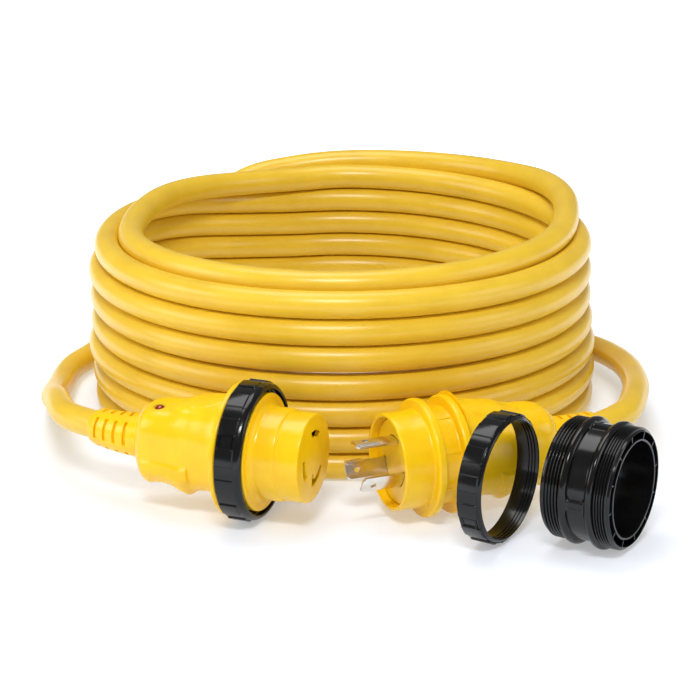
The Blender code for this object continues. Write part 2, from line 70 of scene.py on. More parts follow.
class Body(Enum):
    """The bodies of the frame that a piece can ride on."""

    ROOT = "root"
    LOCK_RING = "lock_ring"
    LOOSE_RING = "loose_ring"
    SLEEVE = "sleeve"


class Slot(Enum):
    """The record's material slots."""

    JACKET = "jacket"
    MOULDING = "moulding"
    RING = "ring"
    BLADE = "blade"
    LENS = "lens"


class Side(Enum):
    """The side of its coupling to which a strain relief is bent by the cable."""

    LEFT = 1.0
    RIGHT = -1.0


# ------------------------------------------------------------------------- small maths
def blend(value: float, start: float, end: float) -> float:
    """Go smoothly from 0 at start to 1 at end.

    Args:
        value: Where to look.
        start: The value at which the change begins.
        end: The value at which it is complete; it may be below start.

    Returns:
        A share from 0 to 1 with no slope at either end.
    """
    share = min(1.0, max(0.0, (value - start) / (end - start)))
    return share * share * (3.0 - 2.0 * share)


def through(keys: Sequence[tuple[float, ...]], where: float) -> list[float]:
    """Read a smooth curve through key rows, without overshoot between equal ones.

    Args:
        keys: Rows of a rising position and the values there.
        where: The position to read.

    Returns:
        The interpolated values.
    """
    where = min(max(where, keys[0][0]), keys[-1][0])
    last = len(keys) - 1
    k = max(i for i in range(last) if keys[i][0] <= where or i == 0)
    span = keys[k + 1][0] - keys[k][0]
    t = (where - keys[k][0]) / span
    values = []
    for column in range(1, len(keys[0])):
        def slope(i: int) -> float:
            """Slope at key i, flat at a turning point."""
            before, after = max(i - 1, 0), min(i + 1, last)
            left = keys[i][column] - keys[before][column]
            right = keys[after][column] - keys[i][column]
            if 0 < i < last and left * right <= 0.0:
                return 0.0
            return (left + right) / (keys[after][0] - keys[before][0])

        a, b = keys[k][column], keys[k + 1][column]
        m0, m1 = slope(k) * span, slope(k + 1) * span
        values.append((2 * t**3 - 3 * t**2 + 1) * a + (t**3 - 2 * t**2 + t) * m0
                      + (3 * t**2 - 2 * t**3) * b + (t**3 - t**2) * m1)
    return values


def on_axis(x: float, radius: float, angle: float) -> Vector:
    """The point at a local x, a distance from the axis and an angle round it."""
    return Vector((x, radius * cos(angle), radius * sin(angle)))


def arc(centre: Point, radius: float, start: float, end: float, steps: int) -> list[Point]:
    """Points on an arc in a turned outline.

    Args:
        centre: The arc's centre as x and distance from the axis.
        radius: Its radius.
        start: First angle in degrees, counted from +x towards the outside.
        end: Last angle in degrees.
        steps: How many stretches it is drawn with.

    Returns:
        The points, both ends included.
    """
    turns = [radians(start + (end - start) * k / steps) for k in range(steps + 1)]
    return [(centre[0] + radius * cos(a), centre[1] + radius * sin(a)) for a in turns]


# --------------------------------------------------------------------------- finishes
class NodeSheet:
    """Adds and links the nodes of one tree."""

    def __init__(self, tree: bpy.types.NodeTree) -> None:
        """Keep the tree that the nodes go into."""
        self.tree = tree

    def add(self, kind: str, inputs: dict | None = None, **settings: object) -> bpy.types.Node:
        """Add a node.

        Args:
            kind: The node's type name.
            inputs: Values or sockets for its inputs, by name or number.
            settings: The node's own properties.

        Returns:
            The new node.
        """
        node = self.tree.nodes.new(kind)
        for name, value in settings.items():
            setattr(node, name, value)
        for key, value in (inputs or {}).items():
            if isinstance(value, bpy.types.NodeSocket):
                self.tree.links.new(value, node.inputs[key])
            else:
                node.inputs[key].default_value = value
        return node

    def ramp(self, factor: bpy.types.NodeSocket, stops: Sequence[tuple]) -> bpy.types.NodeSocket:
        """A colour ramp of (position, rgb) stops, fed by a factor."""
        node = self.add("ShaderNodeValToRGB", {"Fac": factor})
        elements = node.color_ramp.elements
        while len(elements) < len(stops):
            elements.new(0.5)
        for element, (position, colour) in zip(elements, stops):
            element.position = position
            element.color = (*colour, 1.0)
        return node.outputs["Color"]

    def spread(self, factor: bpy.types.NodeSocket, low: float, high: float) -> bpy.types.NodeSocket:
        """Map a factor of 0 to 1 onto the range from low to high."""
        node = self.add("ShaderNodeMapRange", {"Value": factor, "To Min": low, "To Max": high})
        return node.outputs["Result"]


@dataclass(frozen=True)
class Finish(ABC):
    """A procedural surface. Its colours are linear RGB."""

    name: str
    colour: tuple[float, float, float]
    shade: tuple[float, float, float]
    roughness: float
    sheen: float = 0.0
    coat: float = 0.0
    specular: float = 0.5

    def build(self) -> Material:
        """Build the material's nodes.

        Returns:
            The material.
        """
        made = bpy.data.materials.new(self.name)
        made.use_nodes = True
        shader = made.node_tree.nodes["Principled BSDF"]
        shader.inputs["Sheen Weight"].default_value = self.sheen
        shader.inputs["Coat Weight"].default_value = self.coat
        shader.inputs["Specular IOR Level"].default_value = self.specular
        self.dress(NodeSheet(made.node_tree), shader)
        return made

    @abstractmethod
    def dress(self, sheet: NodeSheet, shader: bpy.types.Node) -> None:
        """Feed the shader's colour, roughness and normal."""


@dataclass(frozen=True)
class MouldedFinish(Finish):
    """Injection-moulded plastic: slight cloudiness and a fine uneven skin."""

    cloud_size: float = 14.0 * MM
    skin_size: float = 0.9 * MM
    skin_depth: float = 0.03
    roughness_spread: float = 0.07
    translucency: float = 0.0

    def dress(self, sheet: NodeSheet, shader: bpy.types.Node) -> None:
        """Feed the shader's colour, roughness and normal."""
        place = sheet.add("ShaderNodeTexCoord").outputs["Object"]
        cloud = sheet.add("ShaderNodeTexNoise",
                          {"Vector": place, "Scale": 1.0 / self.cloud_size, "Detail": 4.0})
        skin = sheet.add("ShaderNodeTexNoise",
                         {"Vector": place, "Scale": 1.0 / self.skin_size, "Detail": 2.0})
        scuff = sheet.add("ShaderNodeTexNoise", {"Vector": place, "Scale": 0.25 / self.skin_size,
                                                 "Detail": 5.0, "Roughness": 0.7})
        tree = sheet.tree
        tree.links.new(sheet.ramp(cloud.outputs["Fac"], ((0.30, self.shade), (0.62, self.colour))),
                       shader.inputs["Base Color"])
        tree.links.new(sheet.spread(scuff.outputs["Fac"], self.roughness - self.roughness_spread,
                                    self.roughness + self.roughness_spread),
                       shader.inputs["Roughness"])
        bump = sheet.add("ShaderNodeBump", {"Height": skin.outputs["Fac"],
                                            "Strength": self.skin_depth, "Distance": 0.2 * MM})
        tree.links.new(bump.outputs["Normal"], shader.inputs["Normal"])
        if self.translucency:
            shader.inputs["Subsurface Weight"].default_value = self.translucency
            shader.inputs["Subsurface Radius"].default_value = (1.0, 0.5, 0.1)
            shader.inputs["Subsurface Scale"].default_value = 1.2 * MM


@dataclass(frozen=True)
class JacketFinish(Finish):
    """Extruded cable jacket: faint streaks along the cable and an uneven satin skin."""

    def dress(self, sheet: NodeSheet, shader: bpy.types.Node) -> None:
        """Feed the shader's colour, roughness and normal from the cable's own attributes."""
        along = sheet.add("ShaderNodeAttribute", attribute_name="along").outputs["Fac"]
        across = sheet.add("ShaderNodeAttribute", attribute_name="across").outputs["Vector"]
        place = sheet.add("ShaderNodeSeparateXYZ", {"Vector": across})
        pulled = sheet.add("ShaderNodeMath", {0: along, 1: 0.10}, operation="MULTIPLY")
        drawn = sheet.add("ShaderNodeCombineXYZ", {"X": place.outputs["X"], "Y": place.outputs["Y"],
                                                   "Z": pulled.outputs["Value"]})
        free = sheet.add("ShaderNodeCombineXYZ", {"X": place.outputs["X"],
                                                  "Y": place.outputs["Y"], "Z": along})
        streak = sheet.add("ShaderNodeTexNoise", {"Vector": drawn.outputs["Vector"],
                                                  "Scale": 420.0, "Detail": 4.0})
        cloud = sheet.add("ShaderNodeTexNoise", {"Vector": free.outputs["Vector"],
                                                 "Scale": 38.0, "Detail": 5.0, "Roughness": 0.6})
        skin = sheet.add("ShaderNodeTexNoise", {"Vector": free.outputs["Vector"],
                                                "Scale": 900.0, "Detail": 3.0})
        tree = sheet.tree
        tint = sheet.ramp(cloud.outputs["Fac"], ((0.32, self.shade), (0.60, self.colour)))
        worn = sheet.add("ShaderNodeMix", {"Factor": 0.10, "A": tint,
                                           "B": sheet.ramp(streak.outputs["Fac"], (
                                               (0.35, self.shade), (0.65, self.colour)))},
                         data_type="RGBA")
        tree.links.new(worn.outputs[2], shader.inputs["Base Color"])
        tree.links.new(sheet.spread(cloud.outputs["Fac"], self.roughness - 0.07,
                                    self.roughness + 0.08), shader.inputs["Roughness"])
        height = sheet.add("ShaderNodeMath", {0: streak.outputs["Fac"], 1: skin.outputs["Fac"]},
                           operation="ADD")
        bump = sheet.add("ShaderNodeBump", {"Height": height.outputs["Value"],
                                            "Strength": 0.05, "Distance": 0.2 * MM})
        tree.links.new(bump.outputs["Normal"], shader.inputs["Normal"])


@dataclass(frozen=True)
class MetalFinish(Finish):
    """Plated or plain sheet metal, with fine rolling lines along the local axis."""

    yaw: float = 0.0

    def dress(self, sheet: NodeSheet, shader: bpy.types.Node) -> None:
        """Feed the shader's colour, roughness and normal."""
        shader.inputs["Metallic"].default_value = 1.0
        place = sheet.add("ShaderNodeTexCoord").outputs["Object"]
        lined = sheet.add("ShaderNodeMapping", {"Vector": place, "Rotation": (0.0, 0.0, -self.yaw),
                                                "Scale": (120.0, 3200.0, 3200.0)})
        line = sheet.add("ShaderNodeTexNoise", {"Vector": lined.outputs["Vector"], "Scale": 1.0,
                                                "Detail": 3.0})
        cloud = sheet.add("ShaderNodeTexNoise", {"Vector": place, "Scale": 160.0, "Detail": 4.0})
        tree = sheet.tree
        tree.links.new(sheet.ramp(cloud.outputs["Fac"], ((0.35, self.shade), (0.60, self.colour))),
                       shader.inputs["Base Color"])
        tree.links.new(sheet.spread(line.outputs["Fac"], self.roughness - 0.06,
                                    self.roughness + 0.08), shader.inputs["Roughness"])
        bump = sheet.add("ShaderNodeBump", {"Height": line.outputs["Fac"], "Strength": 0.04,
                                            "Distance": 0.1 * MM})
        tree.links.new(bump.outputs["Normal"], shader.inputs["Normal"])


@dataclass(frozen=True)
class LensFinish(Finish):
    """Clear coloured plastic over a lamp."""

    def dress(self, sheet: NodeSheet, shader: bpy.types.Node) -> None:
        """Feed the shader's colour and roughness."""
        shader.inputs["Transmission Weight"].default_value = 0.35
        place = sheet.add("ShaderNodeTexCoord").outputs["Object"]
        cloud = sheet.add("ShaderNodeTexNoise", {"Vector": place, "Scale": 600.0, "Detail": 2.0})
        tree = sheet.tree
        tree.links.new(sheet.ramp(cloud.outputs["Fac"], ((0.35, self.shade), (0.60, self.colour))),
                       shader.inputs["Base Color"])
        tree.links.new(sheet.spread(cloud.outputs["Fac"], self.roughness, self.roughness + 0.05),
                       shader.inputs["Roughness"])


class Palette:
    """Every finish of the cord, built once."""

    def __init__(self) -> None:
        """Build the materials."""
        self.jacket = JacketFinish("cable_jacket", (0.80, 0.52, 0.030), (0.73, 0.46, 0.022),
                                   0.31).build()
        self.yellow = MouldedFinish("yellow_moulding", (0.93, 0.57, 0.003), (0.87, 0.51, 0.002),
                                    0.24, translucency=0.05, specular=0.42).build()
        # Painted shade: a darker orange copy of the yellow moulding, for the faces sunk in the slots
        # of the boots and the nose.
        self.recess = MouldedFinish("moulding_recess", (0.74, 0.25, 0.004), (0.62, 0.19, 0.003),
                                    0.45).build()
        self.black = MouldedFinish("black_ring", (0.0045, 0.0043, 0.0043), (0.003, 0.003, 0.003),
                                   0.15, skin_depth=0.02, roughness_spread=0.05,
                                   specular=0.36).build()
        self.insulator = MouldedFinish("insulator", (0.035, 0.034, 0.033), (0.02, 0.02, 0.02),
                                       0.55).build()
        self.nickel = MetalFinish("nickel_blade", (0.80, 0.77, 0.73), (0.70, 0.67, 0.63), 0.20,
                                  yaw=radians(21.0)).build()
        self.brass = MetalFinish("brass_contact", (0.78, 0.56, 0.24), (0.66, 0.45, 0.17), 0.28,
                                 yaw=radians(-19.1)).build()
        self.lens = LensFinish("lamp_lens", (0.80, 0.03, 0.02), (0.55, 0.01, 0.01), 0.08,
                               coat=0.5).build()
        # Painted shade: a dark red ring that stands for the shaded gap round the lamp's lens.
        self.painted_shade_ring = MouldedFinish("lamp_bezel", (0.03, 0.008, 0.008), (0.015, 0.004, 0.004),
                                   0.30).build()
        self.board = MouldedFinish("lamp_board", (0.02, 0.17, 0.06), (0.015, 0.12, 0.04),
                                   0.45).build()
        cores = {"hot": (0.012, 0.012, 0.012), "neutral": (0.80, 0.79, 0.75),
                 "ground": (0.02, 0.26, 0.06)}
        self.cores = {pole: MouldedFinish("core_" + pole, colour,
                                          tuple(0.85 * part for part in colour), 0.42).build()
                      for pole, colour in cores.items()}


# --------------------------------------------------------------------- geometry nodes
class NodeTool(ABC):
    """A Geometry Nodes tree with named inputs, applied to a draft to give a plain mesh."""

    name: str
    sockets: tuple[tuple[str, str], ...]

    def __init__(self) -> None:
        """Build the tree and its inputs."""
        self.tree = bpy.data.node_groups.new(self.name, "GeometryNodeTree")
        face = self.tree.interface
        face.new_socket("Geometry", in_out="INPUT", socket_type="NodeSocketGeometry")
        for label, kind in self.sockets:
            face.new_socket(label, in_out="INPUT", socket_type=kind)
        face.new_socket("Geometry", in_out="OUTPUT", socket_type="NodeSocketGeometry")
        sheet = NodeSheet(self.tree)
        entry = sheet.add("NodeGroupInput").outputs
        final = self.draw(sheet, entry)
        real = sheet.add("GeometryNodeRealizeInstances", {"Geometry": final})
        merged = sheet.add("GeometryNodeMergeByDistance",
                           {"Geometry": real.outputs["Geometry"], "Distance": 0.004 * MM})
        dressed = sheet.add("GeometryNodeSetMaterial", {"Geometry": merged.outputs["Geometry"],
                                                        "Material": entry["Material"]})
        sheet.add("NodeGroupOutput", {"Geometry": dressed.outputs["Geometry"]})

    @abstractmethod
    def draw(self, sheet: NodeSheet, entry: bpy.types.NodeOutputs) -> bpy.types.NodeSocket:
        """Add the tree's own nodes and give back their geometry."""

    def apply(self, draft: Mesh, **values: object) -> Mesh:
        """Run the tree on a draft mesh.

        Args:
            draft: The mesh that goes in; it is used up.
            values: The named inputs, with _ for a space.

        Returns:
            The finished plain mesh.
        """
        holder = bpy.data.objects.new("draft", draft)
        bpy.context.scene.collection.objects.link(holder)
        modifier = holder.modifiers.new(self.name, "NODES")
        modifier.node_group = self.tree
        for item in self.tree.interface.items_tree:
            key = item.name.lower().replace(" ", "_")
            if item.in_out == "INPUT" and key in values:
                modifier[item.identifier] = values[key]
        graph = bpy.context.evaluated_depsgraph_get()
        made = bpy.data.meshes.new_from_object(holder.evaluated_get(graph), depsgraph=graph)
        holder.modifiers.clear()
        bpy.data.objects.remove(holder)
        bpy.data.meshes.remove(draft)
        return made


class RepeatTool(NodeTool):
    """Repeats a feature around the local X axis and along it."""

    name = "repeat_about_axis"
    sockets = (("Around", "NodeSocketInt"), ("Along", "NodeSocketInt"),
               ("Pitch", "NodeSocketFloat"), ("First Angle", "NodeSocketFloat"),
               ("Material", "NodeSocketMaterial"))

    def draw(self, sheet: NodeSheet, entry: bpy.types.NodeOutputs) -> bpy.types.NodeSocket:
        """One instance for each row and column, turned and shifted by its number."""
        def maths(operation: str, a: object, b: object) -> bpy.types.NodeSocket:
            """One sum of two numbers or sockets."""
            node = sheet.add("ShaderNodeMath", {0: a, 1: b}, operation=operation)
            return node.outputs["Value"]

        total = maths("MULTIPLY", entry["Around"], entry["Along"])
        points = sheet.add("GeometryNodePoints", {"Count": total})
        number = sheet.add("GeometryNodeInputIndex").outputs["Index"]
        column = maths("FLOORED_MODULO", number, entry["Around"])
        row = maths("FLOOR", maths("DIVIDE", maths("ADD", number, 0.5), entry["Around"]), 0.0)
        step = maths("DIVIDE", 2.0 * pi, entry["Around"])
        turn = maths("ADD", maths("MULTIPLY", column, step), entry["First Angle"])
        shift = sheet.add("ShaderNodeCombineXYZ", {"X": maths("MULTIPLY", row, entry["Pitch"])})
        placed = sheet.add("GeometryNodeSetPosition",
                           {"Geometry": points.outputs["Points"],
                            "Position": shift.outputs["Vector"]})
        euler = sheet.add("ShaderNodeCombineXYZ", {"X": turn})
        rotation = sheet.add("FunctionNodeEulerToRotation", {"Euler": euler.outputs["Vector"]})
        copies = sheet.add("GeometryNodeInstanceOnPoints",
                           {"Points": placed.outputs["Geometry"], "Instance": entry["Geometry"],
                            "Rotation": rotation.outputs["Rotation"]})
        return copies.outputs["Instances"]


class JacketTool(NodeTool):
    """Sweeps a round jacket along a route and notes each point's place on the cable."""

    name = "sweep_jacket"
    sockets = (("Radius", "NodeSocketFloat"), ("Sides", "NodeSocketInt"),
               ("Material", "NodeSocketMaterial"))

    def draw(self, sheet: NodeSheet, entry: bpy.types.NodeOutputs) -> bpy.types.NodeSocket:
        """The route as a curve, with the jacket's round outline swept along it."""
        route = sheet.add("GeometryNodeMeshToCurve", {"Mesh": entry["Geometry"]})
        length = sheet.add("GeometryNodeSplineParameter").outputs["Length"]
        marked = sheet.add("GeometryNodeStoreNamedAttribute",
                           {"Geometry": route.outputs["Curve"], "Name": "along", "Value": length},
                           data_type="FLOAT", domain="POINT")
        ring = sheet.add("GeometryNodeCurvePrimitiveCircle",
                         {"Resolution": entry["Sides"], "Radius": entry["Radius"]})
        place = sheet.add("GeometryNodeInputPosition").outputs["Position"]
        outline = sheet.add("GeometryNodeStoreNamedAttribute",
                            {"Geometry": ring.outputs["Curve"], "Name": "across", "Value": place},
                            data_type="FLOAT_VECTOR", domain="POINT")
        swept = sheet.add("GeometryNodeCurveToMesh",
                          {"Curve": marked.outputs["Geometry"],
                           "Profile Curve": outline.outputs["Geometry"], "Fill Caps": True})
        return swept.outputs["Mesh"]


# ------------------------------------------------------------------------ mesh drafting
def grid(rows: Sequence[Sequence[Vector]], wrap_rows: bool = False, wrap_columns: bool = True,
         capped: bool = False) -> bmesh.types.BMesh:
    """Skin rows of points into a mesh.

    Args:
        rows: Rows of the same number of points.
        wrap_rows: Join the last row to the first.
        wrap_columns: Join the last point of each row to its first.
        capped: Close the first and the last row with a face each.

    Returns:
        The mesh, open where it isn't wrapped or capped.
    """
    bm = bmesh.new()
    verts = [[bm.verts.new(point) for point in row] for row in rows]
    pairs = list(zip(verts, verts[1:])) + ([(verts[-1], verts[0])] if wrap_rows else [])
    for first, second in pairs:
        count = len(first)
        for k in range(count if wrap_columns else count - 1):
            after = (k + 1) % count
            bm.faces.new((first[k], first[after], second[after], second[k]))
    if capped:
        bm.faces.new(verts[0])
        bm.faces.new(verts[-1])
    return bm


def sector(angles: Iterable[float], outline: Callable[[float], Sequence[Point]]) -> Mesh:
    """A stretch of a turned piece, whose closed outline may change with the angle.

    Args:
        angles: The angles at which the outline is drawn.
        outline: Gives the (x, radius) points at an angle, always as many.

    Returns:
        The stretch, open at its two sides.
    """
    rows = [[on_axis(x, radius, angle) for x, radius in outline(angle)] for angle in angles]
    return to_mesh(grid(rows))


def lathe(outline: Sequence[Point], faces: int = 128) -> bmesh.types.BMesh:
    """Turn a closed outline of (x, radius) points; a radius of 0 is on the axis."""
    angles = [2.0 * pi * k / faces for k in range(faces)]
    bm = grid([[on_axis(x, max(radius, 0.0), a) for x, radius in outline] for a in angles],
              wrap_rows=True)
    bmesh.ops.remove_doubles(bm, verts=bm.verts, dist=0.001 * MM)
    return bm


def to_mesh(bm: bmesh.types.BMesh) -> Mesh:
    """Close a bmesh into a new mesh."""
    mesh = bpy.data.meshes.new("draft")
    bm.to_mesh(mesh)
    bm.free()
    return mesh


def outward(mesh: Mesh) -> None:
    """Merge what touches and turn every face outwards."""
    bm = bmesh.new()
    bm.from_mesh(mesh)
    bmesh.ops.remove_doubles(bm, verts=bm.verts, dist=0.002 * MM)
    bmesh.ops.dissolve_degenerate(bm, edges=bm.edges, dist=0.0005 * MM)
    bmesh.ops.recalc_face_normals(bm, faces=bm.faces)
    bm.to_mesh(mesh)
    bm.free()


def cut(mesh: Mesh, *cutters: Mesh) -> Mesh:
    """Take closed cutters out of a closed mesh.

    Args:
        mesh: The mesh that is cut; it is used up.
        cutters: The meshes to take out of it; they are used up.

    Returns:
        What is left.
    """
    for part in (mesh, *cutters):
        outward(part)
    target = bpy.data.objects.new("target", mesh)
    tools = [bpy.data.objects.new("tool", cutter) for cutter in cutters]
    for made in (target, *tools):
        bpy.context.scene.collection.objects.link(made)
    for tool in tools:
        boolean = target.modifiers.new("cut", "BOOLEAN")
        boolean.operation = "DIFFERENCE"
        boolean.solver = "EXACT"
        boolean.object = tool
    graph = bpy.context.evaluated_depsgraph_get()
    result = bpy.data.meshes.new_from_object(target.evaluated_get(graph), depsgraph=graph)
    for used in (target, *tools):
        used.modifiers.clear()
        bpy.data.objects.remove(used)
    return result


def joined(*parts: Mesh) -> Mesh:
    """Put several meshes into one."""
    bm = bmesh.new()
    for part in parts:
        bm.from_mesh(part)
    return to_mesh(bm)


def block(corners: Sequence[Vector]) -> bmesh.types.BMesh:
    """A closed block from four lower corners and the four above them, each in order."""
    bm = bmesh.new()
    verts = [bm.verts.new(corner) for corner in corners]
    sides = ((0, 1, 2, 3), (4, 5, 6, 7), (0, 1, 5, 4), (1, 2, 6, 5), (2, 3, 7, 6), (3, 0, 4, 7))
    for face in sides:
        bm.faces.new([verts[k] for k in face])
    return bm


def curved_block(x_range: Point, radii: Point, angles: Point, steps: int) -> bmesh.types.BMesh:
    """A closed block that curves round the axis.

    Args:
        x_range: Its two ends along the axis.
        radii: Its inner and outer distance from the axis.
        angles: Its first and last angle.
        steps: How many stretches it is drawn with.

    Returns:
        The block.
    """
    turns = [angles[0] + (angles[1] - angles[0]) * k / steps for k in range(steps + 1)]
    corners = ((x_range[0], radii[0]), (x_range[1], radii[0]), (x_range[1], radii[1]),
               (x_range[0], radii[1]))
    return grid([[on_axis(x, radius, a) for x, radius in corners] for a in turns], capped=True)


def bevelled(bm: bmesh.types.BMesh, width: float, segments: int = 2) -> Mesh:
    """Round a block's sharp edges and make it a mesh."""
    bmesh.ops.recalc_face_normals(bm, faces=bm.faces)
    sharp = [edge for edge in bm.edges
             if len(edge.link_faces) == 2 and edge.calc_face_angle(0.0) > radians(40.0)]
    bmesh.ops.bevel(bm, geom=sharp, offset=width, segments=segments, affect="EDGES", profile=0.6)
    return to_mesh(bm)


def put(name: str, mesh: Mesh, place: Matrix, *finishes: Material,
        sharp: float = 32.0) -> bpy.types.Object:
    """Stand a finished mesh in its place as a piece.

    Args:
        name: The piece's name.
        mesh: Its mesh, in its coupling's own frame.
        place: The coupling's frame.
        finishes: The piece's materials, in the order of its slots.
        sharp: Edges over this angle in degrees stay sharp.

    Returns:
        The piece, with its object at the origin.
    """
    outward(mesh)
    mesh.transform(place)
    mesh.name = name
    mesh.materials.clear()
    for finish in finishes:
        mesh.materials.append(finish)
    mesh.shade_smooth()
    mesh.set_sharp_from_angle(angle=radians(sharp))
    piece = bpy.data.objects.new(name, mesh)
    bpy.context.scene.collection.objects.link(piece)
    return piece


def settle(piece: bpy.types.Object, body: Body, slot: Slot, *nodes: str) -> bpy.types.Object:
    """Let a piece ride on its body and stand for its CAD nodes."""
    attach(piece, body.value)
    if nodes:
        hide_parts(*nodes)
    LOG.info("%s: %d faces", piece.name, len(piece.data.polygons))
    return piece


@dataclass
class Tools:
    """What every sub-assembly needs to build its pieces."""

    palette: Palette
    repeat: RepeatTool
    jacket: JacketTool


# ------------------------------------------------------------------------------ places
@dataclass(frozen=True)
class Place:
    """Where a coupling lies: the point its local x is counted from, and its heading."""

    origin: tuple[float, float, float]
    yaw: float

    @property
    def matrix(self) -> Matrix:
        """The coupling's frame."""
        return Matrix.Translation(self.origin) @ Matrix.Rotation(self.yaw, 4, "Z")


CONNECTOR_PLACE = Place((-0.0512, 0.0057, 0.0362), radians(-20.5))
PLUG_PLACE = Place((0.0272, 0.0117, 0.0309), radians(202.0))
LOOSE_RING_PLACE = Place((0.0711, -0.0251, 0.0332), radians(-32.0))
SLEEVE_PLACE = Place((0.1220, -0.0301, 0.0323), radians(-31.0))


def bend(point: Vector, start: float, side: Side) -> Vector:
    """Bend what lies behind a local x to one side, as a loaded strain relief bends.

    Args:
        point: A point in a coupling's frame.
        start: The local x at which the bend begins.
        side: The side it bends to.

    Returns:
        Where the point goes.
    """
    behind = start - point.x
    if behind <= 0.0:
        return point.copy()
    radius = BOOT_LENGTH / BOOT_BEND
    a = behind / radius
    sign = side.value
    return Vector((start - radius * sin(a) + point.y * sign * sin(a),
                   sign * radius * (1.0 - cos(a)) + point.y * cos(a), point.z))


# ------------------------------------------------------------------------------- cable
@dataclass
class Lay:
    """A small looseness in the coil: where it is and how far it pushes a turn.

    A turn is counted from 1 at the top, and the angle in degrees from +X towards +Y.
    """

    turn: int
    angle: float
    spread: float
    out: float
    up: float = 0.0


@dataclass
class Cable:
    """The free cable: two tails and a coil of eight turns that lie on each other."""

    tools: Tools
    centre: Vector = field(default_factory=lambda: Vector((-0.0136, 0.1982, 0.0)))
    coil_radius: float = 137.0 * MM
    turns: int = 8
    pitch: float = 14.75 * MM
    points_per_turn: int = 24
    step: float = 5.0 * MM
    sides: int = 28
    # Shares of the last turn between which it swings out beside the turn above it.
    swing_start: float = 0.76
    swing_end: float = 0.97
    widest_step: float = 10.0 * MM     # between two turns that still lie on each other
    tail_radius: float = 153.5 * MM    # where the tails lie along the coil's outside
    # How the top turn leans about the one below, at shares of a turn from the back.
    # Below zero it lies outside that turn, above zero inside it.
    top_lean: tuple[tuple[float, float], ...] = (
        (0.0, -65.0), (0.0625, -55.0), (0.125, -42.0), (0.1875, -8.0), (0.25, 28.0), (0.375, 50.0),
        (0.5, 60.0), (0.625, 60.0), (0.75, 68.0), (0.8125, 58.0), (0.875, 42.0), (0.95, 16.0),
        (1.0, 0.0))
    # Where the turns have slipped out, in or up: at the back and front, the left, the right.
    lays: tuple[Lay, ...] = (
        Lay(7, 90.0, 55.0, 0.0, 1.9 * MM), Lay(4, 268.0, 36.0, 0.0, 1.0 * MM),
        Lay(5, 290.0, 30.0, 0.0, 0.25 * MM),
        Lay(2, 180.0, 45.0, -1.9 * MM), Lay(3, 180.0, 50.0, 1.9 * MM),
        Lay(4, 185.0, 50.0, 1.3 * MM), Lay(5, 180.0, 50.0, 1.2 * MM),
        Lay(6, 180.0, 50.0, 3.0 * MM), Lay(7, 190.0, 50.0, 1.0 * MM),
        Lay(3, 0.0, 50.0, 0.5 * MM), Lay(4, 0.0, 50.0, 0.6 * MM), Lay(5, 0.0, 50.0, 2.1 * MM),
        Lay(6, 0.0, 50.0, 3.7 * MM), Lay(7, 0.0, 50.0, 4.0 * MM), Lay(8, 0.0, 50.0, 3.5 * MM))

    def around(self, angle: float, radius: float, height: float) -> Vector:
        """A point beside the coil, at an angle in degrees from +X towards +Y."""
        a = radians(angle)
        return self.centre + Vector((radius * cos(a), radius * sin(a), height))

    def looseness(self, turn: int, share: float) -> Point:
        """How far a turn is pushed out and up at a share of it."""
        out = up = 0.0
        for lay in self.lays:
            from_back = (90.0 - lay.angle) / 360.0 % 1.0 + lay.turn - turn
            reach = exp(-((share - from_back) * 360.0 / lay.spread) ** 2)
            out += lay.out * reach
            up += lay.up * reach
        return out, up

    def lie(self, turn: int, share: float) -> Point:
        """How one turn lies at a share of the way round from the back.

        Args:
            turn: 1 at the top to 8 on the floor.
            share: 0 to 1, going clockwise as seen from above.

        Returns:
            Its distance from the coil's axis and its height.
        """
        swing = pi / 2.0 * blend(share, self.swing_start, self.swing_end)
        out, up = self.looseness(turn, share)
        if turn == self.turns:
            return self.coil_radius + out + self.pitch * sin(swing), CABLE_RADIUS
        if turn == self.turns - 1:
            return self.coil_radius + out, CABLE_RADIUS + self.pitch * cos(swing) + up
        below_radius, below_height = self.lie(turn + 1, share)
        if turn == 1:
            lean = radians(through(self.top_lean, share)[0])
            return below_radius - self.pitch * sin(lean), below_height + self.pitch * cos(lean)
        radius = self.coil_radius + out
        rise = sqrt(self.pitch ** 2 - min(self.widest_step, abs(radius - below_radius)) ** 2)
        return radius, below_height + rise + up

    def coil_points(self) -> list[Vector]:
        """The coil's own guide points, from the back at the top to where it leaves the floor turn."""
        points = []
        per_turn = self.points_per_turn
        for k in range(self.turns * per_turn):
            turn, share = k // per_turn + 1, k % per_turn / per_turn
            angle = 90.0 - 360.0 * share
            if turn == self.turns and share > self.swing_end:
                break
            points.append(self.around(angle, *self.lie(turn, share)))
        return points

    def boot_end(self, place: Place, boot_start: float, side: Side, inside: float) -> Vector:
        """The cable's middle at a distance inside the rear end of a strain relief."""
        middle = Vector((boot_start - BOOT_LENGTH + inside, 0.0, 0.0))
        return place.matrix @ bend(middle, boot_start, side)

    def route(self) -> list[Vector]:
        """The guide points of the whole cable, from the connector to the plug."""
        floor = CABLE_RADIUS + FLOOR_GAP
        start, side = ConnectorSizes.boot_start, Side.LEFT
        points = [self.boot_end(CONNECTOR_PLACE, start, side, inside)
                  for inside in (CABLE_INSERT, 0.0)]
        # Down to the floor at the left, then up the coil's back to become the top turn.
        points += [
            Vector((-0.1588, 0.0652, 0.0345)), Vector((-0.1693, 0.1017, 0.0300)),
            Vector((-0.1766, 0.1452, 0.0172)), Vector((-0.1783, 0.1842, 0.0092)),
            Vector((-0.1756, 0.2232, floor)), self.around(158.0, 0.1590, 0.0095),
            self.around(147.0, 0.1545, 0.0280), self.around(136.0, self.tail_radius, 0.0530),
            self.around(125.0, self.tail_radius, 0.0780),
            self.around(113.0, self.tail_radius, 0.0955), self.around(101.0, 0.1520, 0.1012)]
        points += self.coil_points()
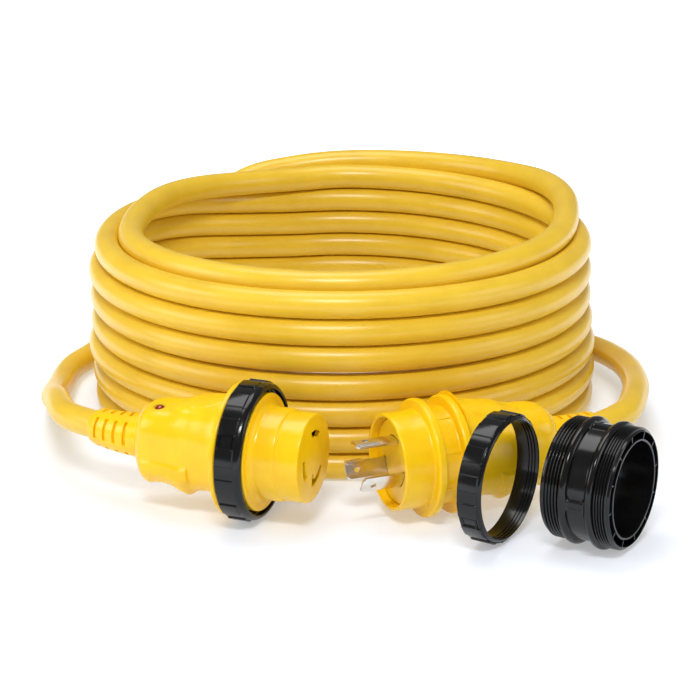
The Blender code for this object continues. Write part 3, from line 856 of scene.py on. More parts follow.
        # Along the back on the floor, then round the right to the plug.
        points += [self.around(angle, self.tail_radius, floor) for angle in (93, 80, 67, 53, 38)]
        points += [self.around(25.0, 0.1590, 0.0095), Vector((0.1429, 0.2332, 0.0150)),
                   Vector((0.1519, 0.1922, 0.0205)), Vector((0.1534, 0.1512, 0.0250)),
                   Vector((0.1489, 0.1117, 0.0295)), Vector((0.1384, 0.0752, 0.0315))]
        start, side = PlugSizes.boot_start, Side.RIGHT
        points += [self.boot_end(PLUG_PLACE, start, side, inside) for inside in (0.0, CABLE_INSERT)]
        return points

    def smooth(self, guides: Sequence[Vector]) -> list[Vector]:
        """Read a centripetal Catmull-Rom curve through the guides at an even step.

        Args:
            guides: The route's own points.

        Returns:
            Points a step apart.
        """
        ends = [guides[0] * 2.0 - guides[1], *guides, guides[-1] * 2.0 - guides[-2]]
        dense: list[Vector] = []
        for p0, p1, p2, p3 in zip(ends, ends[1:], ends[2:], ends[3:]):
            t1 = (p1 - p0).length ** 0.5
            t2 = t1 + (p2 - p1).length ** 0.5
            t3 = t2 + (p3 - p2).length ** 0.5
            for k in range(16):
                t = t1 + (t2 - t1) * k / 16.0
                a1 = p0 * ((t1 - t) / t1) + p1 * (t / t1)
                a2 = p1 * ((t2 - t) / (t2 - t1)) + p2 * ((t - t1) / (t2 - t1))
                a3 = p2 * ((t3 - t) / (t3 - t2)) + p3 * ((t - t2) / (t3 - t2))
                b1 = a1 * ((t2 - t) / t2) + a2 * (t / t2)
                b2 = a2 * ((t3 - t) / (t3 - t1)) + a3 * ((t - t1) / (t3 - t1))
                dense.append(b1 * ((t2 - t) / (t2 - t1)) + b2 * ((t - t1) / (t2 - t1)))
        dense.append(guides[-1].copy())
        length = sum((b - a).length for a, b in zip(dense, dense[1:]))
        even = length / round(length / self.step)
        points, travelled, target = [dense[0]], 0.0, even
        for a, b in zip(dense, dense[1:]):
            stretch = (b - a).length
            while stretch > 0.0 and travelled + stretch >= target:
                points.append(a.lerp(b, (target - travelled) / stretch))
                target += even
            travelled += stretch
        points[-1] = dense[-1]
        return points

    def build(self) -> bpy.types.Object:
        """Returns:
            The cable.
        """
        points = self.smooth(self.route())
        line = bpy.data.meshes.new("route")
        line.from_pydata(points, [(k, k + 1) for k in range(len(points) - 1)], [])
        mesh = self.tools.jacket.apply(line, radius=CABLE_RADIUS, sides=self.sides,
                                       material=self.tools.palette.jacket)
        piece = put("power_cable", mesh, Matrix.Identity(4), self.tools.palette.jacket, sharp=60.0)
        settle(piece, Body.ROOT, Slot.JACKET, "cable_coil", "cable_tail_connector",
               "cable_tail_plug")
        leaves = self.boot_end(CONNECTOR_PLACE, ConnectorSizes.boot_start, Side.LEFT, 0.0)
        return piece


# ----------------------------------------------------------------- shared sub-parts
class ConnectorSizes:
    """Local x of the connector's main faces."""

    ring_length = 14.0 * MM
    flange_front = -14.3 * MM
    flange_back = -17.5 * MM
    grip = 50.6 * MM
    boot_start = flange_back - grip
    neck_front = -4.3 * MM
    nose_length = 25.8 * MM


class PlugSizes:
    """Local x of the plug's main faces."""

    flange_half = 2.2 * MM
    back_flange = -15.0 * MM
    flange_back = back_flange - flange_half
    grip = 55.8 * MM
    boot_start = flange_back - grip
    rim = 18.3 * MM
    recess = 4.0 * MM


@dataclass
class StrainRelief:
    """The slotted boot behind a coupling: four rows of four slots, bent by the cable."""

    tools: Tools
    side: Side
    start: float
    first_row: float
    front_radius: float = 11.8 * MM
    rear_radius: float = 9.2 * MM
    slots: int = 4
    first_slot: float = 6.2 * MM
    slot_pitch: float = 5.75 * MM
    slot_half: float = 0.8 * MM
    slot_arc: float = radians(33.0)
    depth: float = 1.7 * MM
    wall: float = 0.16 * MM

    def stations(self) -> list[float]:
        """Distances behind the front at which the outside is drawn."""
        marks = [0.3 * MM, 0.9 * MM, 2.2 * MM, 3.6 * MM, 5.0 * MM]
        for k in range(self.slots):
            middle = self.first_slot + k * self.slot_pitch
            for edge in (-1.0, 1.0):
                lip = middle + edge * self.slot_half
                marks += [lip - 0.45 * MM, lip - self.wall / 2.0, lip + self.wall / 2.0,
                          lip + 0.45 * MM]
        end = BOOT_LENGTH
        marks += [end - 2.2 * MM]
        return sorted(marks)

    def radius(self, behind: float) -> float:
        """The boot's outer radius at a distance behind its front."""
        share = behind / BOOT_LENGTH
        return self.front_radius + (self.rear_radius + 0.5 * MM - self.front_radius) * share

    def in_slot(self, behind: float, angle: float) -> float:
        """1 inside a slot and 0 outside it; the angle is counted from the row's middle."""
        if abs(angle) > self.slot_arc:
            return 0.0
        nearest = min(abs(behind - self.first_slot - k * self.slot_pitch) for k in range(self.slots))
        return 1.0 if nearest < self.slot_half else 0.0

    def outline(self, angle: float) -> list[Point]:
        """The closed outline at an angle from a row's middle."""
        points = []
        for behind in self.stations():
            sunk = self.depth * self.in_slot(behind, angle)
            points.append((self.start - behind, self.radius(behind) - sunk))
        end = self.start - BOOT_LENGTH
        rear = self.radius(BOOT_LENGTH) - 0.5 * MM
        points += [(x, r) for x, r in arc((end + 1.5 * MM, rear - 1.2 * MM), 1.5 * MM, 95, 180, 5)]
        points += [(end, CABLE_BORE + 0.3 * MM), (end + 0.4 * MM, CABLE_BORE)]
        reach = BOOT_LENGTH - 0.7 * MM
        points += [(end + 0.4 * MM + reach * k / 6.0, CABLE_BORE) for k in range(1, 7)]
        return points

    def build(self, name: str, place: Place) -> bpy.types.Object:
        """Build the boot.

        Args:
            name: The CAD node it stands for.
            place: Its coupling's place.

        Returns:
            The boot.
        """
        palette = self.tools.palette
        edge = radians(0.9)
        inner = [self.slot_arc * k / 5.0 - edge / 2.0 for k in range(1, 6)]
        outer = [self.slot_arc + edge / 2.0, self.slot_arc + 2.5 * edge, radians(40.0)]
        half = [*inner, *outer, radians(45.0)]
        angles = [-a for a in reversed(half)] + [0.0] + half
        draft = sector(angles, self.outline)
        mesh = self.tools.repeat.apply(draft, around=4, along=1, pitch=0.0,
                                       first_angle=self.first_row, material=palette.yellow)
        outward(mesh)
        # Faces sunk in the slots take the second finish, a darker orange painted shade.
        for polygon in mesh.polygons:
            middle = polygon.center
            behind = self.start - middle.x
            away = hypot(middle.y, middle.z)
            painted_shade_below_skin = CABLE_BORE + 0.5 * MM < away < self.radius(behind) - 0.25 * MM
            if painted_shade_below_skin and behind < 0.9 * BOOT_LENGTH:
                polygon.material_index = 1
        for vert in mesh.vertices:
            vert.co = bend(vert.co, self.start, self.side)
        piece = put(name + "_skin", mesh, place.matrix, palette.yellow, palette.recess, sharp=40.0)
        return settle(piece, Body.ROOT, Slot.MOULDING, name)


@dataclass
class Grip:
    """The hand grip of a coupling, from its rear flange back to its strain relief.

    A distance is counted backwards from the flange.
    """

    flange_back: float
    length: float
    sides: int = 128
    stations: int = 110
    # The shape is drawn on a grip of this length in mm. Each row holds a distance behind the
    # flange, the top, bottom and half width there in mm, and how square the outline is.
    drawn_length: float = 55.8
    shape: tuple[tuple[float, ...], ...] = (
        (0.0, 28.2, 24.0, 24.5, 2.1), (6.0, 26.6, 23.6, 22.6, 2.2), (12.5, 25.8, 23.5, 21.5, 2.3),
        (18.0, 24.9, 24.0, 20.6, 2.4), (21.0, 24.6, 25.0, 20.2, 2.45),
        (24.5, 23.8, 27.0, 19.8, 2.5), (28.5, 22.1, 25.6, 19.6, 2.6), (33.0, 20.8, 23.0, 19.4, 2.8),
        (38.0, 20.5, 21.6, 19.3, 2.9), (43.0, 20.3, 21.5, 19.1, 3.0), (47.5, 19.8, 22.4, 18.6, 3.0),
        (51.0, 18.8, 21.4, 17.6, 2.8), (53.5, 16.6, 18.6, 15.6, 2.6), (55.0, 14.2, 15.6, 13.6, 2.4),
        (55.8, 12.2, 12.6, 12.4, 2.1))
    fillet: float = 4.5 * MM

    def relief(self, behind: float, angle: float) -> float:
        """How far the moulded details stand out at a place on the grip.

        Args:
            behind: Distance behind the flange, in metres.
            angle: Angle from the local +Y towards +Z.

        Returns:
            A distance outwards, in metres.
        """
        from_top = degrees(acos(max(-1.0, min(1.0, sin(angle)))))
        distance = behind / self.length * self.drawn_length
        pad = 0.0
        along = (distance - 19.0) / 17.5
        if abs(along) < 1.0:
            reach = 37.0 * sqrt(1.0 - along * along)
            pad = 0.9 * (1.0 - blend(from_top, reach - 4.0, reach + 1.0))
        within = blend(distance, 19.5, 20.5) * (1.0 - blend(distance, 49.0, 50.2))
        low = blend(from_top, 105.5, 107.0) * (1.0 - blend(from_top, 118.0, 134.0))
        ledge = 1.25 * within * low
        return (pad + ledge) * MM

    def flare(self, behind: float) -> float:
        """The hollow fillet that joins the grip to its flange."""
        inside = max(0.0, 1.0 - behind / self.fillet)
        return self.fillet * (1.0 - sqrt(max(0.0, 1.0 - inside * inside)))

    def rows(self) -> list[list[Vector]]:
        """Rings of points from the strain relief forwards to the flange."""
        rings = []
        for k in range(self.stations, -1, -1):
            behind = self.length * k / self.stations
            top, bottom, width, square = through(self.shape, self.drawn_length * k / self.stations)
            ring = []
            for j in range(self.sides):
                a = 2.0 * pi * j / self.sides
                reach = (abs(cos(a)) ** square + abs(sin(a)) ** square) ** (-1.0 / square)
                up = (top if sin(a) > 0.0 else bottom) * MM * reach
                point = Vector((0.0, width * MM * reach * cos(a), up * sin(a)))
                point *= 1.0 + (self.relief(behind, a) + self.flare(behind)) / point.length
                point.x = self.flange_back - behind
                ring.append(point)
            rings.append(ring)
        return rings

    def turned_rows(self, outline: Sequence[Point]) -> list[list[Vector]]:
        """Rings that carry the grip's skin on along a turned outline."""
        return [[on_axis(x, radius, 2.0 * pi * j / self.sides) for j in range(self.sides)]
                for x, radius in outline]

    def cavity(self, front: Sequence[Point]) -> Mesh:
        """The hollow inside the grip, carried on along an outline to the coupling's front."""
        start = self.flange_back - self.length
        outline = [(start - 5.0 * MM, 0.0), (start - 5.0 * MM, CABLE_BORE),
                   (start + 8.0 * MM, CABLE_BORE), (start + 30.0 * MM, CAVITY_RADIUS), *front]
        return to_mesh(lathe(outline, 64))


def rounded_flange(back: float, front: float, radius: float, foot: float,
                   edge: float = 1.0 * MM) -> list[Point]:
    """The outline of a flange with rounded rims, drawn from back to front.

    Args:
        back: Local x of its back face.
        front: Local x of its front face.
        radius: Its outer radius.
        foot: The radius it stands on, at both faces.
        edge: How far its rims are rounded.

    Returns:
        The outline.
    """
    return [(back, foot), *arc((back + edge, radius - edge), edge, 180, 90, 4),
            *arc((front - edge, radius - edge), edge, 90, 0, 4), (front, foot)]


@dataclass
class ThreadedRing:
    """A black ring with grip pads round it and a threaded bore."""

    tools: Tools
    radius: float
    bore: float
    length: float
    lip: float
    thread: tuple[float, float, int]
    framed_pads: tuple[int, float]
    pads: int = 14
    relief: float = 0.8 * MM
    pad_half: float = 0.27
    face_bevel: float = 3.6 * MM

    def bore_outline(self) -> list[Point]:
        """The bore from back to front, with its lip and its thread ridges."""
        start, end, ridges = self.thread
        points = []
        if self.lip < self.bore:
            points += [(-self.length, self.lip + 0.3 * MM), (-self.length + 0.3 * MM, self.lip),
                       (-self.length + 2.4 * MM, self.lip), (-self.length + 2.6 * MM, self.bore)]
        else:
            points += [(-self.length, self.lip + 0.3 * MM), (-self.length + 0.3 * MM, self.lip)]
        pitch = (end - start) / ridges
        for k in range(ridges):
            x = start + k * pitch
            deep, crest = self.bore + 0.55 * MM, self.bore
            points += [(x + 0.10 * pitch, deep), (x + 0.40 * pitch, deep),
                       (x + 0.60 * pitch, crest), (x + 0.90 * pitch, crest)]
        points += [(-0.3 * MM, self.bore), (0.0, self.bore + 0.3 * MM)]
        return points

    def outline(self, share: float) -> list[Point]:
        """The closed outline at a place between two pads: share runs from -0.5 to 0.5."""
        height = 1.0 - blend(abs(share), self.pad_half - 0.012, self.pad_half + 0.022)
        base = self.radius - self.relief
        top = base + self.relief * height
        step = 0.35 * self.relief * height
        wide, back = self.face_bevel, -self.length
        points = [(0.0, base - 1.9 * MM)]
        points += [(-0.5 * MM, base - 1.1 * MM), (-1.3 * MM, base - 0.5 * MM),
                   (-2.3 * MM, base - 0.14 * MM), (-wide, base)]
        points += [(-wide - 0.15 * MM, base + step), (-wide - 0.45 * MM, top - 0.04 * MM * height),
                   (-wide - 0.8 * MM, top)]
        points += [(back + 1.2 * MM, top), (back + 0.8 * MM, top - 0.05 * MM * height)]
        points += [(back + 0.5 * MM, base + step), (back + 0.35 * MM, base - 0.2 * MM),
                   (back + 0.1 * MM, base - 0.6 * MM), (back, base - 1.0 * MM)]
        return points + self.bore_outline()

    def frame(self) -> Mesh:
        """The thin raised frame that stands on some of the pads."""
        half = self.pad_half * 2.0 * pi / self.pads * 0.80
        ends = (-self.length + 1.8 * MM, -self.face_bevel - 1.5 * MM)
        low, high, line = self.radius - 0.2 * MM, self.radius + 0.13 * MM, 0.35 * MM
        turn = line / self.radius
        sides = [curved_block((ends[0], ends[0] + line), (low, high), (-half, half), 8),
                 curved_block((ends[1] - line, ends[1]), (low, high), (-half, half), 8),
                 curved_block((ends[0], ends[1]), (low, high), (-half, -half + turn), 1),
                 curved_block((ends[0], ends[1]), (low, high), (half - turn, half), 1)]
        return joined(*(to_mesh(side) for side in sides))

    def build(self, name: str, place: Place, body: Body) -> bpy.types.Object:
        """Build the ring.

        Args:
            name: The CAD node it stands for.
            place: Its place.
            body: The body it rides on.

        Returns:
            The ring.
        """
        pitch = 2.0 * pi / self.pads
        half, edges = self.pad_half, (-0.012, -0.004, 0.006, 0.014, 0.022)
        ramp = [half + e for e in edges]
        right = [0.09, 0.18, *ramp, 0.37, 0.44, 0.5]
        shares = [-s for s in reversed(right)] + [0.0] + right
        draft = sector([s * pitch for s in shares], lambda angle: self.outline(angle / pitch))
        repeat, black = self.tools.repeat, self.tools.palette.black
        ring = repeat.apply(draft, around=self.pads, along=1, pitch=0.0, first_angle=-TOP,
                            material=black)
        count, first = self.framed_pads
        frames = repeat.apply(self.frame(), around=count, along=1, pitch=0.0, first_angle=first,
                              material=black)
        piece = put(name + "_skin", joined(ring, frames), place.matrix, black, sharp=38.0)
        return settle(piece, body, Slot.RING, name)


# -------------------------------------------------------------------------- connector
@dataclass
class Connector:
    """The female end: grip, lock ring, three-slot nose, boot and power lamp."""

    tools: Tools
    place: Place = CONNECTOR_PLACE
    neck_radius: float = 28.9 * MM
    flange_radius: float = 34.4 * MM
    disc_radius: float = 30.4 * MM
    nose_radius: float = 23.0 * MM
    barrel_radius: float = 24.0 * MM
    nose_step: float = 13.5 * MM
    front_wall: float = 2.6 * MM
    poles: tuple[float, ...] = (radians(74.0), radians(193.0))
    ground: float = radians(292.0)
    slot_circle: float = 13.0 * MM
    slot_half: float = 1.7 * MM
    slot_arc: float = radians(25.0)
    ground_arc: float = radians(33.0)
    lamp_x: float = -55.8 * MM
    lamp_angle: float = radians(109.0)
    lens_radius: float = 2.2 * MM

    def lamp_turn(self) -> Matrix:
        """Turns a piece drawn about the local Z axis to the lamp's place."""
        return (Matrix.Rotation(self.lamp_angle - TOP, 4, "X")
                @ Matrix.Translation((self.lamp_x, 0.0, 0.0)) @ Matrix.Rotation(-pi / 2.0, 4, "Y"))

    def build_body(self) -> bpy.types.Object:
        """The one-piece grip, rear flange and neck, hollow inside."""
        sizes, grip = ConnectorSizes, Grip(ConnectorSizes.flange_back, ConnectorSizes.grip)
        outline = rounded_flange(sizes.flange_back, sizes.flange_front, self.flange_radius,
                                 33.0 * MM)[1:]
        outline += [(sizes.flange_front, self.neck_radius), (sizes.neck_front, self.neck_radius)]
        body = to_mesh(grid(grip.rows() + grip.turned_rows(outline), capped=True))
        block_bore = 21.1 * MM
        back = sizes.flange_front - 1.5 * MM
        hollow = grip.cavity([(back, CAVITY_RADIUS), (back, block_bore),
                              (sizes.neck_front + 2.0 * MM, block_bore),
                              (sizes.neck_front + 2.0 * MM, 0.0)])
        radius = self.lens_radius + 0.3 * MM
        hole = to_mesh(lathe([(4.0 * MM, 0.0), (4.0 * MM, radius), (19.7 * MM, radius),
                              (20.3 * MM, radius + 0.5 * MM), (30.0 * MM, radius + 1.6 * MM),
                              (30.0 * MM, 0.0)], 40))
        hole.transform(self.lamp_turn())
        mesh = cut(body, hollow, hole)
        piece = put("connector_body_skin", mesh, self.place.matrix, self.tools.palette.yellow)
        return settle(piece, Body.ROOT, Slot.MOULDING, "connector_body")

    def slot_cutters(self) -> list[Mesh]:
        """The three curved contact slots of the nose; the ground one is hooked inwards."""
        front = ConnectorSizes.nose_length
        x_range = (front - self.front_wall - MM, front + MM)
        circle = self.slot_circle
        radii = (circle - self.slot_half, circle + self.slot_half)
        halves = [(pole, self.slot_arc) for pole in self.poles] + [(self.ground, self.ground_arc)]
        cutters = [to_mesh(curved_block(x_range, radii, (pole - half, pole + half), 16))
                   for pole, half in halves]
        end = self.ground - self.ground_arc
        cutters.append(to_mesh(curved_block(x_range, (circle - 4.6 * MM, circle),
                                            (end, end + 3.0 * MM / circle), 2)))
        return cutters

    def build_nose(self) -> bpy.types.Object:
        """The disc that keeps the lock ring on, and the stepped nose."""
        back, front = ConnectorSizes.neck_front + 0.3 * MM, ConnectorSizes.nose_length
        disc, barrel, nose = self.disc_radius, self.barrel_radius, self.nose_radius
        inner, step = 20.8 * MM, self.nose_step
        outline = [(back, inner), (back, disc - 0.5 * MM), (back + 0.5 * MM, disc)]
        outline += arc((-0.7 * MM, disc - 0.7 * MM), 0.7 * MM, 90, 0, 4)
        hollow = 3.4 * MM
        outline += arc((hollow, barrel + hollow), hollow, 180, 270, 10)
        outline += [(step - 1.4 * MM, barrel - 0.1 * MM), (step - 0.8 * MM, barrel - 0.25 * MM),
                    (step - 0.4 * MM, barrel - 0.6 * MM), (step, nose)]
        outline += [(step + 4.0 * MM, nose)]
        outline += arc((front - 0.8 * MM, nose - 0.9 * MM), 0.8 * MM, 90, 0, 5)
        outline += [(front, 0.0), (front - self.front_wall, 0.0), (front - self.front_wall, inner)]
        mesh = cut(to_mesh(lathe(outline, 144)), *self.slot_cutters())
        # Faces inside the slots and behind the front face take the second finish, a darker orange
        # painted shade.
        for polygon in mesh.polygons:
            x, y, z = polygon.center
            polygon.material_index = int(x < front - 0.05 * MM and hypot(y, z) < 18.0 * MM)
        palette = self.tools.palette
        piece = put("connector_nose_skin", mesh, self.place.matrix, palette.yellow, palette.recess)
        return settle(piece, Body.ROOT, Slot.MOULDING, "connector_nose")

    def build_lamp(self) -> None:
        """The red lens and a dark red ring round it, painted shade for the shaded gap between the lens
        and its hole.
        """
        radius = self.lens_radius
        low, top = 13.0 * MM, 20.4 * MM
        inside = radius - 0.55 * MM
        painted_shade_ring = [(low, inside + 0.05 * MM), (low, radius), (top, radius),
                 (top + 0.25 * MM, radius - 0.25 * MM), (top, inside + 0.05 * MM)]
        mesh = to_mesh(lathe(painted_shade_ring, 40))
        mesh.transform(self.lamp_turn())
        piece = put("lamp_bezel", mesh, self.place.matrix, self.tools.palette.painted_shade_ring)
        settle(piece, Body.ROOT, Slot.LENS)
        dome = [(low, 0.0), (low, inside), (top - 0.2 * MM, inside),
                (top + 0.35 * MM, 0.80 * inside), (top + 0.62 * MM, 0.5 * inside),
                (top + 0.75 * MM, 0.0)]
        mesh = to_mesh(lathe(dome, 40))
        mesh.transform(self.lamp_turn())
        piece = put("lamp_lens_dome", mesh, self.place.matrix, self.tools.palette.lens)
        settle(piece, Body.ROOT, Slot.LENS, "connector_lamp_lens")

    def build(self) -> None:
        """Build the whole connector."""
        self.build_body()
        self.build_nose()
        self.build_lamp()
        ThreadedRing(self.tools, radius=36.2 * MM, bore=32.4 * MM, length=ConnectorSizes.ring_length,
                     lip=29.4 * MM, thread=(-11.2 * MM, -1.4 * MM, 4),
                     framed_pads=(2, radians(154.3))).build("connector_lock_ring", self.place,
                                                            Body.LOCK_RING)
        StrainRelief(self.tools, Side.LEFT, ConnectorSizes.boot_start,
                     first_row=radians(162.0)).build("connector_strain_relief", self.place)


# ------------------------------------------------------------------------------- plug
@dataclass
class Plug:
    """The male end: grip, two flanges, recessed face and three locking blades."""

    tools: Tools
    place: Place = PLUG_PLACE
    body_radius: float = 25.2 * MM
    flange_radius: float = 30.8 * MM
    face_radius: float = 22.0 * MM
    recess_radius: float = 23.2 * MM
    block_back: float = -8.0 * MM
    blade_width: float = 9.8 * MM
    blade_thickness: float = 1.7 * MM
    blade_length: float = 22.4 * MM
    hole_radius: float = 1.4 * MM
    hole_from_tip: float = 6.2 * MM
    ribs: int = 8
    poles: dict[str, float] = field(default_factory=lambda: {
        "hot": radians(90.0), "ground": radians(210.0), "neutral": radians(330.0)})

    @property
    def floor(self) -> float:
        """Local x of the recessed face."""
        return PlugSizes.rim - PlugSizes.recess

    def rib(self) -> Mesh:
        """One small rib between the two flanges."""
        sizes = PlugSizes
        ends = (sizes.back_flange + sizes.flange_half - 0.3 * MM, -sizes.flange_half + 0.3 * MM)
        half = 0.45 * MM / self.body_radius
        radii = (self.body_radius - 0.4 * MM, self.body_radius + 0.45 * MM)
        return bevelled(curved_block(ends, radii, (-half, half), 1), 0.15 * MM)

    def build_body(self) -> bpy.types.Object:
        """The one-piece grip, flanges and barrel, hollow inside."""
        sizes, grip = PlugSizes, Grip(PlugSizes.flange_back, PlugSizes.grip)
        radius, half, edge = self.body_radius, PlugSizes.flange_half, 1.1 * MM
        hollow = 1.0 * MM
        outline = rounded_flange(sizes.flange_back, sizes.back_flange + half, self.flange_radius,
                                 radius + hollow, edge)[1:]
        outline += arc((sizes.back_flange + half + hollow, radius + hollow), hollow, 180, 270, 4)
        outline += arc((-half - hollow, radius + hollow), hollow, 270, 360, 4)
        outline += rounded_flange(-half, half, self.flange_radius, radius + hollow, edge)
        outline += arc((half + hollow, radius + hollow), hollow, 180, 270, 4)
        outline += [(sizes.rim - 4.0 * MM, radius)]
        outline += arc((sizes.rim - 0.7 * MM, radius - 0.7 * MM), 0.7 * MM, 90, 0, 4)
        body = to_mesh(grid(grip.rows() + grip.turned_rows(outline), capped=True))
        block = self.face_radius + 0.3 * MM
        edge = 0.5 * MM
        cavity = grip.cavity([(self.block_back - 0.3 * MM, CAVITY_RADIUS),
                              (self.block_back - 0.3 * MM, block), (self.floor, block),
                              (self.floor, self.recess_radius),
                              (sizes.rim - edge, self.recess_radius),
                              (sizes.rim + MM, self.recess_radius + edge + MM), (sizes.rim + MM, 0.0)])
        mesh = cut(body, cavity)
        palette = self.tools.palette
        ribs = self.tools.repeat.apply(self.rib(), around=self.ribs, along=1, pitch=0.0,
                                       first_angle=radians(22.5), material=palette.yellow)
        piece = put("plug_body_skin", joined(mesh, ribs), self.place.matrix, palette.yellow)
        return settle(piece, Body.ROOT, Slot.MOULDING, "plug_body")

    def build_face(self) -> bpy.types.Object:
        """The insulating block in the barrel, with a curved slot for each blade."""
        radius, front = self.face_radius, self.floor
        outline = [(self.block_back, 0.0), (self.block_back, radius), (front - 0.4 * MM, radius),
                   (front, radius - 0.4 * MM), (front, 0.0)]
        gap = 0.35 * MM
        reach = (BLADE_CIRCLE - self.blade_thickness / 2.0 - gap,
                 BLADE_CIRCLE + self.blade_thickness / 2.0 + gap)
        half = (self.blade_width / 2.0 + gap) / BLADE_CIRCLE
        ends = (self.block_back - MM, front + MM)
        slots = [to_mesh(curved_block(ends, reach, (angle - half, angle + half), 12))
                 for angle in self.poles.values()]
        mesh = cut(to_mesh(lathe(outline, 96)), *slots)
        piece = put("plug_face_block", mesh, self.place.matrix, self.tools.palette.yellow)
        return settle(piece, Body.ROOT, Slot.MOULDING, "plug_face")

    def blade_mesh(self, hooked: bool) -> Mesh:
        """A blade as a flat strip with its hole, bent round the blade circle.

        Args:
            hooked: Whether its end is folded inwards.

        Returns:
            The blade, at the top of the coupling.
        """
        back, tip = self.block_back - 2.5 * MM, self.floor + self.blade_length
        half, thick, nip = self.blade_width / 2.0, self.blade_thickness / 2.0, 1.5 * MM
        across = [-half + self.blade_width * k / 12.0 for k in range(13)]
        rows = []
        for y in across:
            end = tip - nip * max(0.0, (abs(y) - half + nip) / nip)
            rows.append([Vector((back, y, -thick)), Vector((back, y, thick)),
                         Vector((end - 0.25 * MM, y, thick)), Vector((end, y, thick - 0.3 * MM)),
                         Vector((end, y, 0.3 * MM - thick)), Vector((end - 0.25 * MM, y, -thick))])
        strip = to_mesh(grid(rows, capped=True))
        radius, bevel = self.hole_radius, 0.2 * MM
        hole = to_mesh(lathe([(-2.0 * MM, 0.0), (-2.0 * MM, radius + bevel), (-thick, radius + bevel),
                              (bevel - thick, radius), (thick - bevel, radius),
                              (thick, radius + bevel), (2.0 * MM, radius + bevel),
                              (2.0 * MM, 0.0)], 32))
        hole.transform(Matrix.Translation((tip - self.hole_from_tip, 0.0, 0.0))
                       @ Matrix.Rotation(-pi / 2.0, 4, "Y"))
        mesh = cut(strip, hole)
        for vert in mesh.vertices:
            x, y, z = vert.co
            vert.co = on_axis(x, BLADE_CIRCLE + z, TOP - y / BLADE_CIRCLE)
        if hooked:
            side = half / BLADE_CIRCLE
            fold = curved_block((tip - 9.0 * MM, tip - 0.3 * MM),
                                (BLADE_CIRCLE - 3.6 * MM, BLADE_CIRCLE + thick),
                                (TOP - side - 0.05, TOP - side + 1.5 * MM / BLADE_CIRCLE), 2)
            slit = to_mesh(block([
                Vector((tip - 6.5 * MM, y, z)) if far else Vector((tip - 2.2 * MM, y, z))
                for z in (BLADE_CIRCLE - 3.0 * MM, BLADE_CIRCLE - 1.7 * MM)
                for y, far in ((0.0, 0), (8.0 * MM, 0), (8.0 * MM, 1), (0.0, 1))]))
            mesh = joined(mesh, cut(bevelled(fold, 0.25 * MM), slit))
        return mesh

    def build_blades(self) -> None:
        """The three nickel-plated blades."""
        nickel = self.tools.palette.nickel
        for pole, angle in self.poles.items():
            mesh = self.blade_mesh(hooked=pole == "ground")
            mesh.transform(Matrix.Rotation(angle - TOP, 4, "X"))
            piece = put("blade_" + pole, mesh, self.place.matrix, nickel, sharp=28.0)
            settle(piece, Body.ROOT, Slot.BLADE, "plug_blade_" + pole)

    def build(self) -> None:
        """Build the whole plug and its loose ring."""
        self.build_body()
        self.build_face()
        self.build_blades()
        ThreadedRing(self.tools, radius=33.2 * MM, bore=30.1 * MM, length=13.0 * MM, lip=30.7 * MM,
                     thread=(-7.4 * MM, -0.7 * MM, 4), framed_pads=(2, radians(205.7)),
                     face_bevel=1.6 * MM).build("plug_lock_ring", LOOSE_RING_PLACE, Body.LOOSE_RING)
        StrainRelief(self.tools, Side.RIGHT, PlugSizes.boot_start,
                     first_row=radians(18.0)).build("plug_strain_relief", self.place)


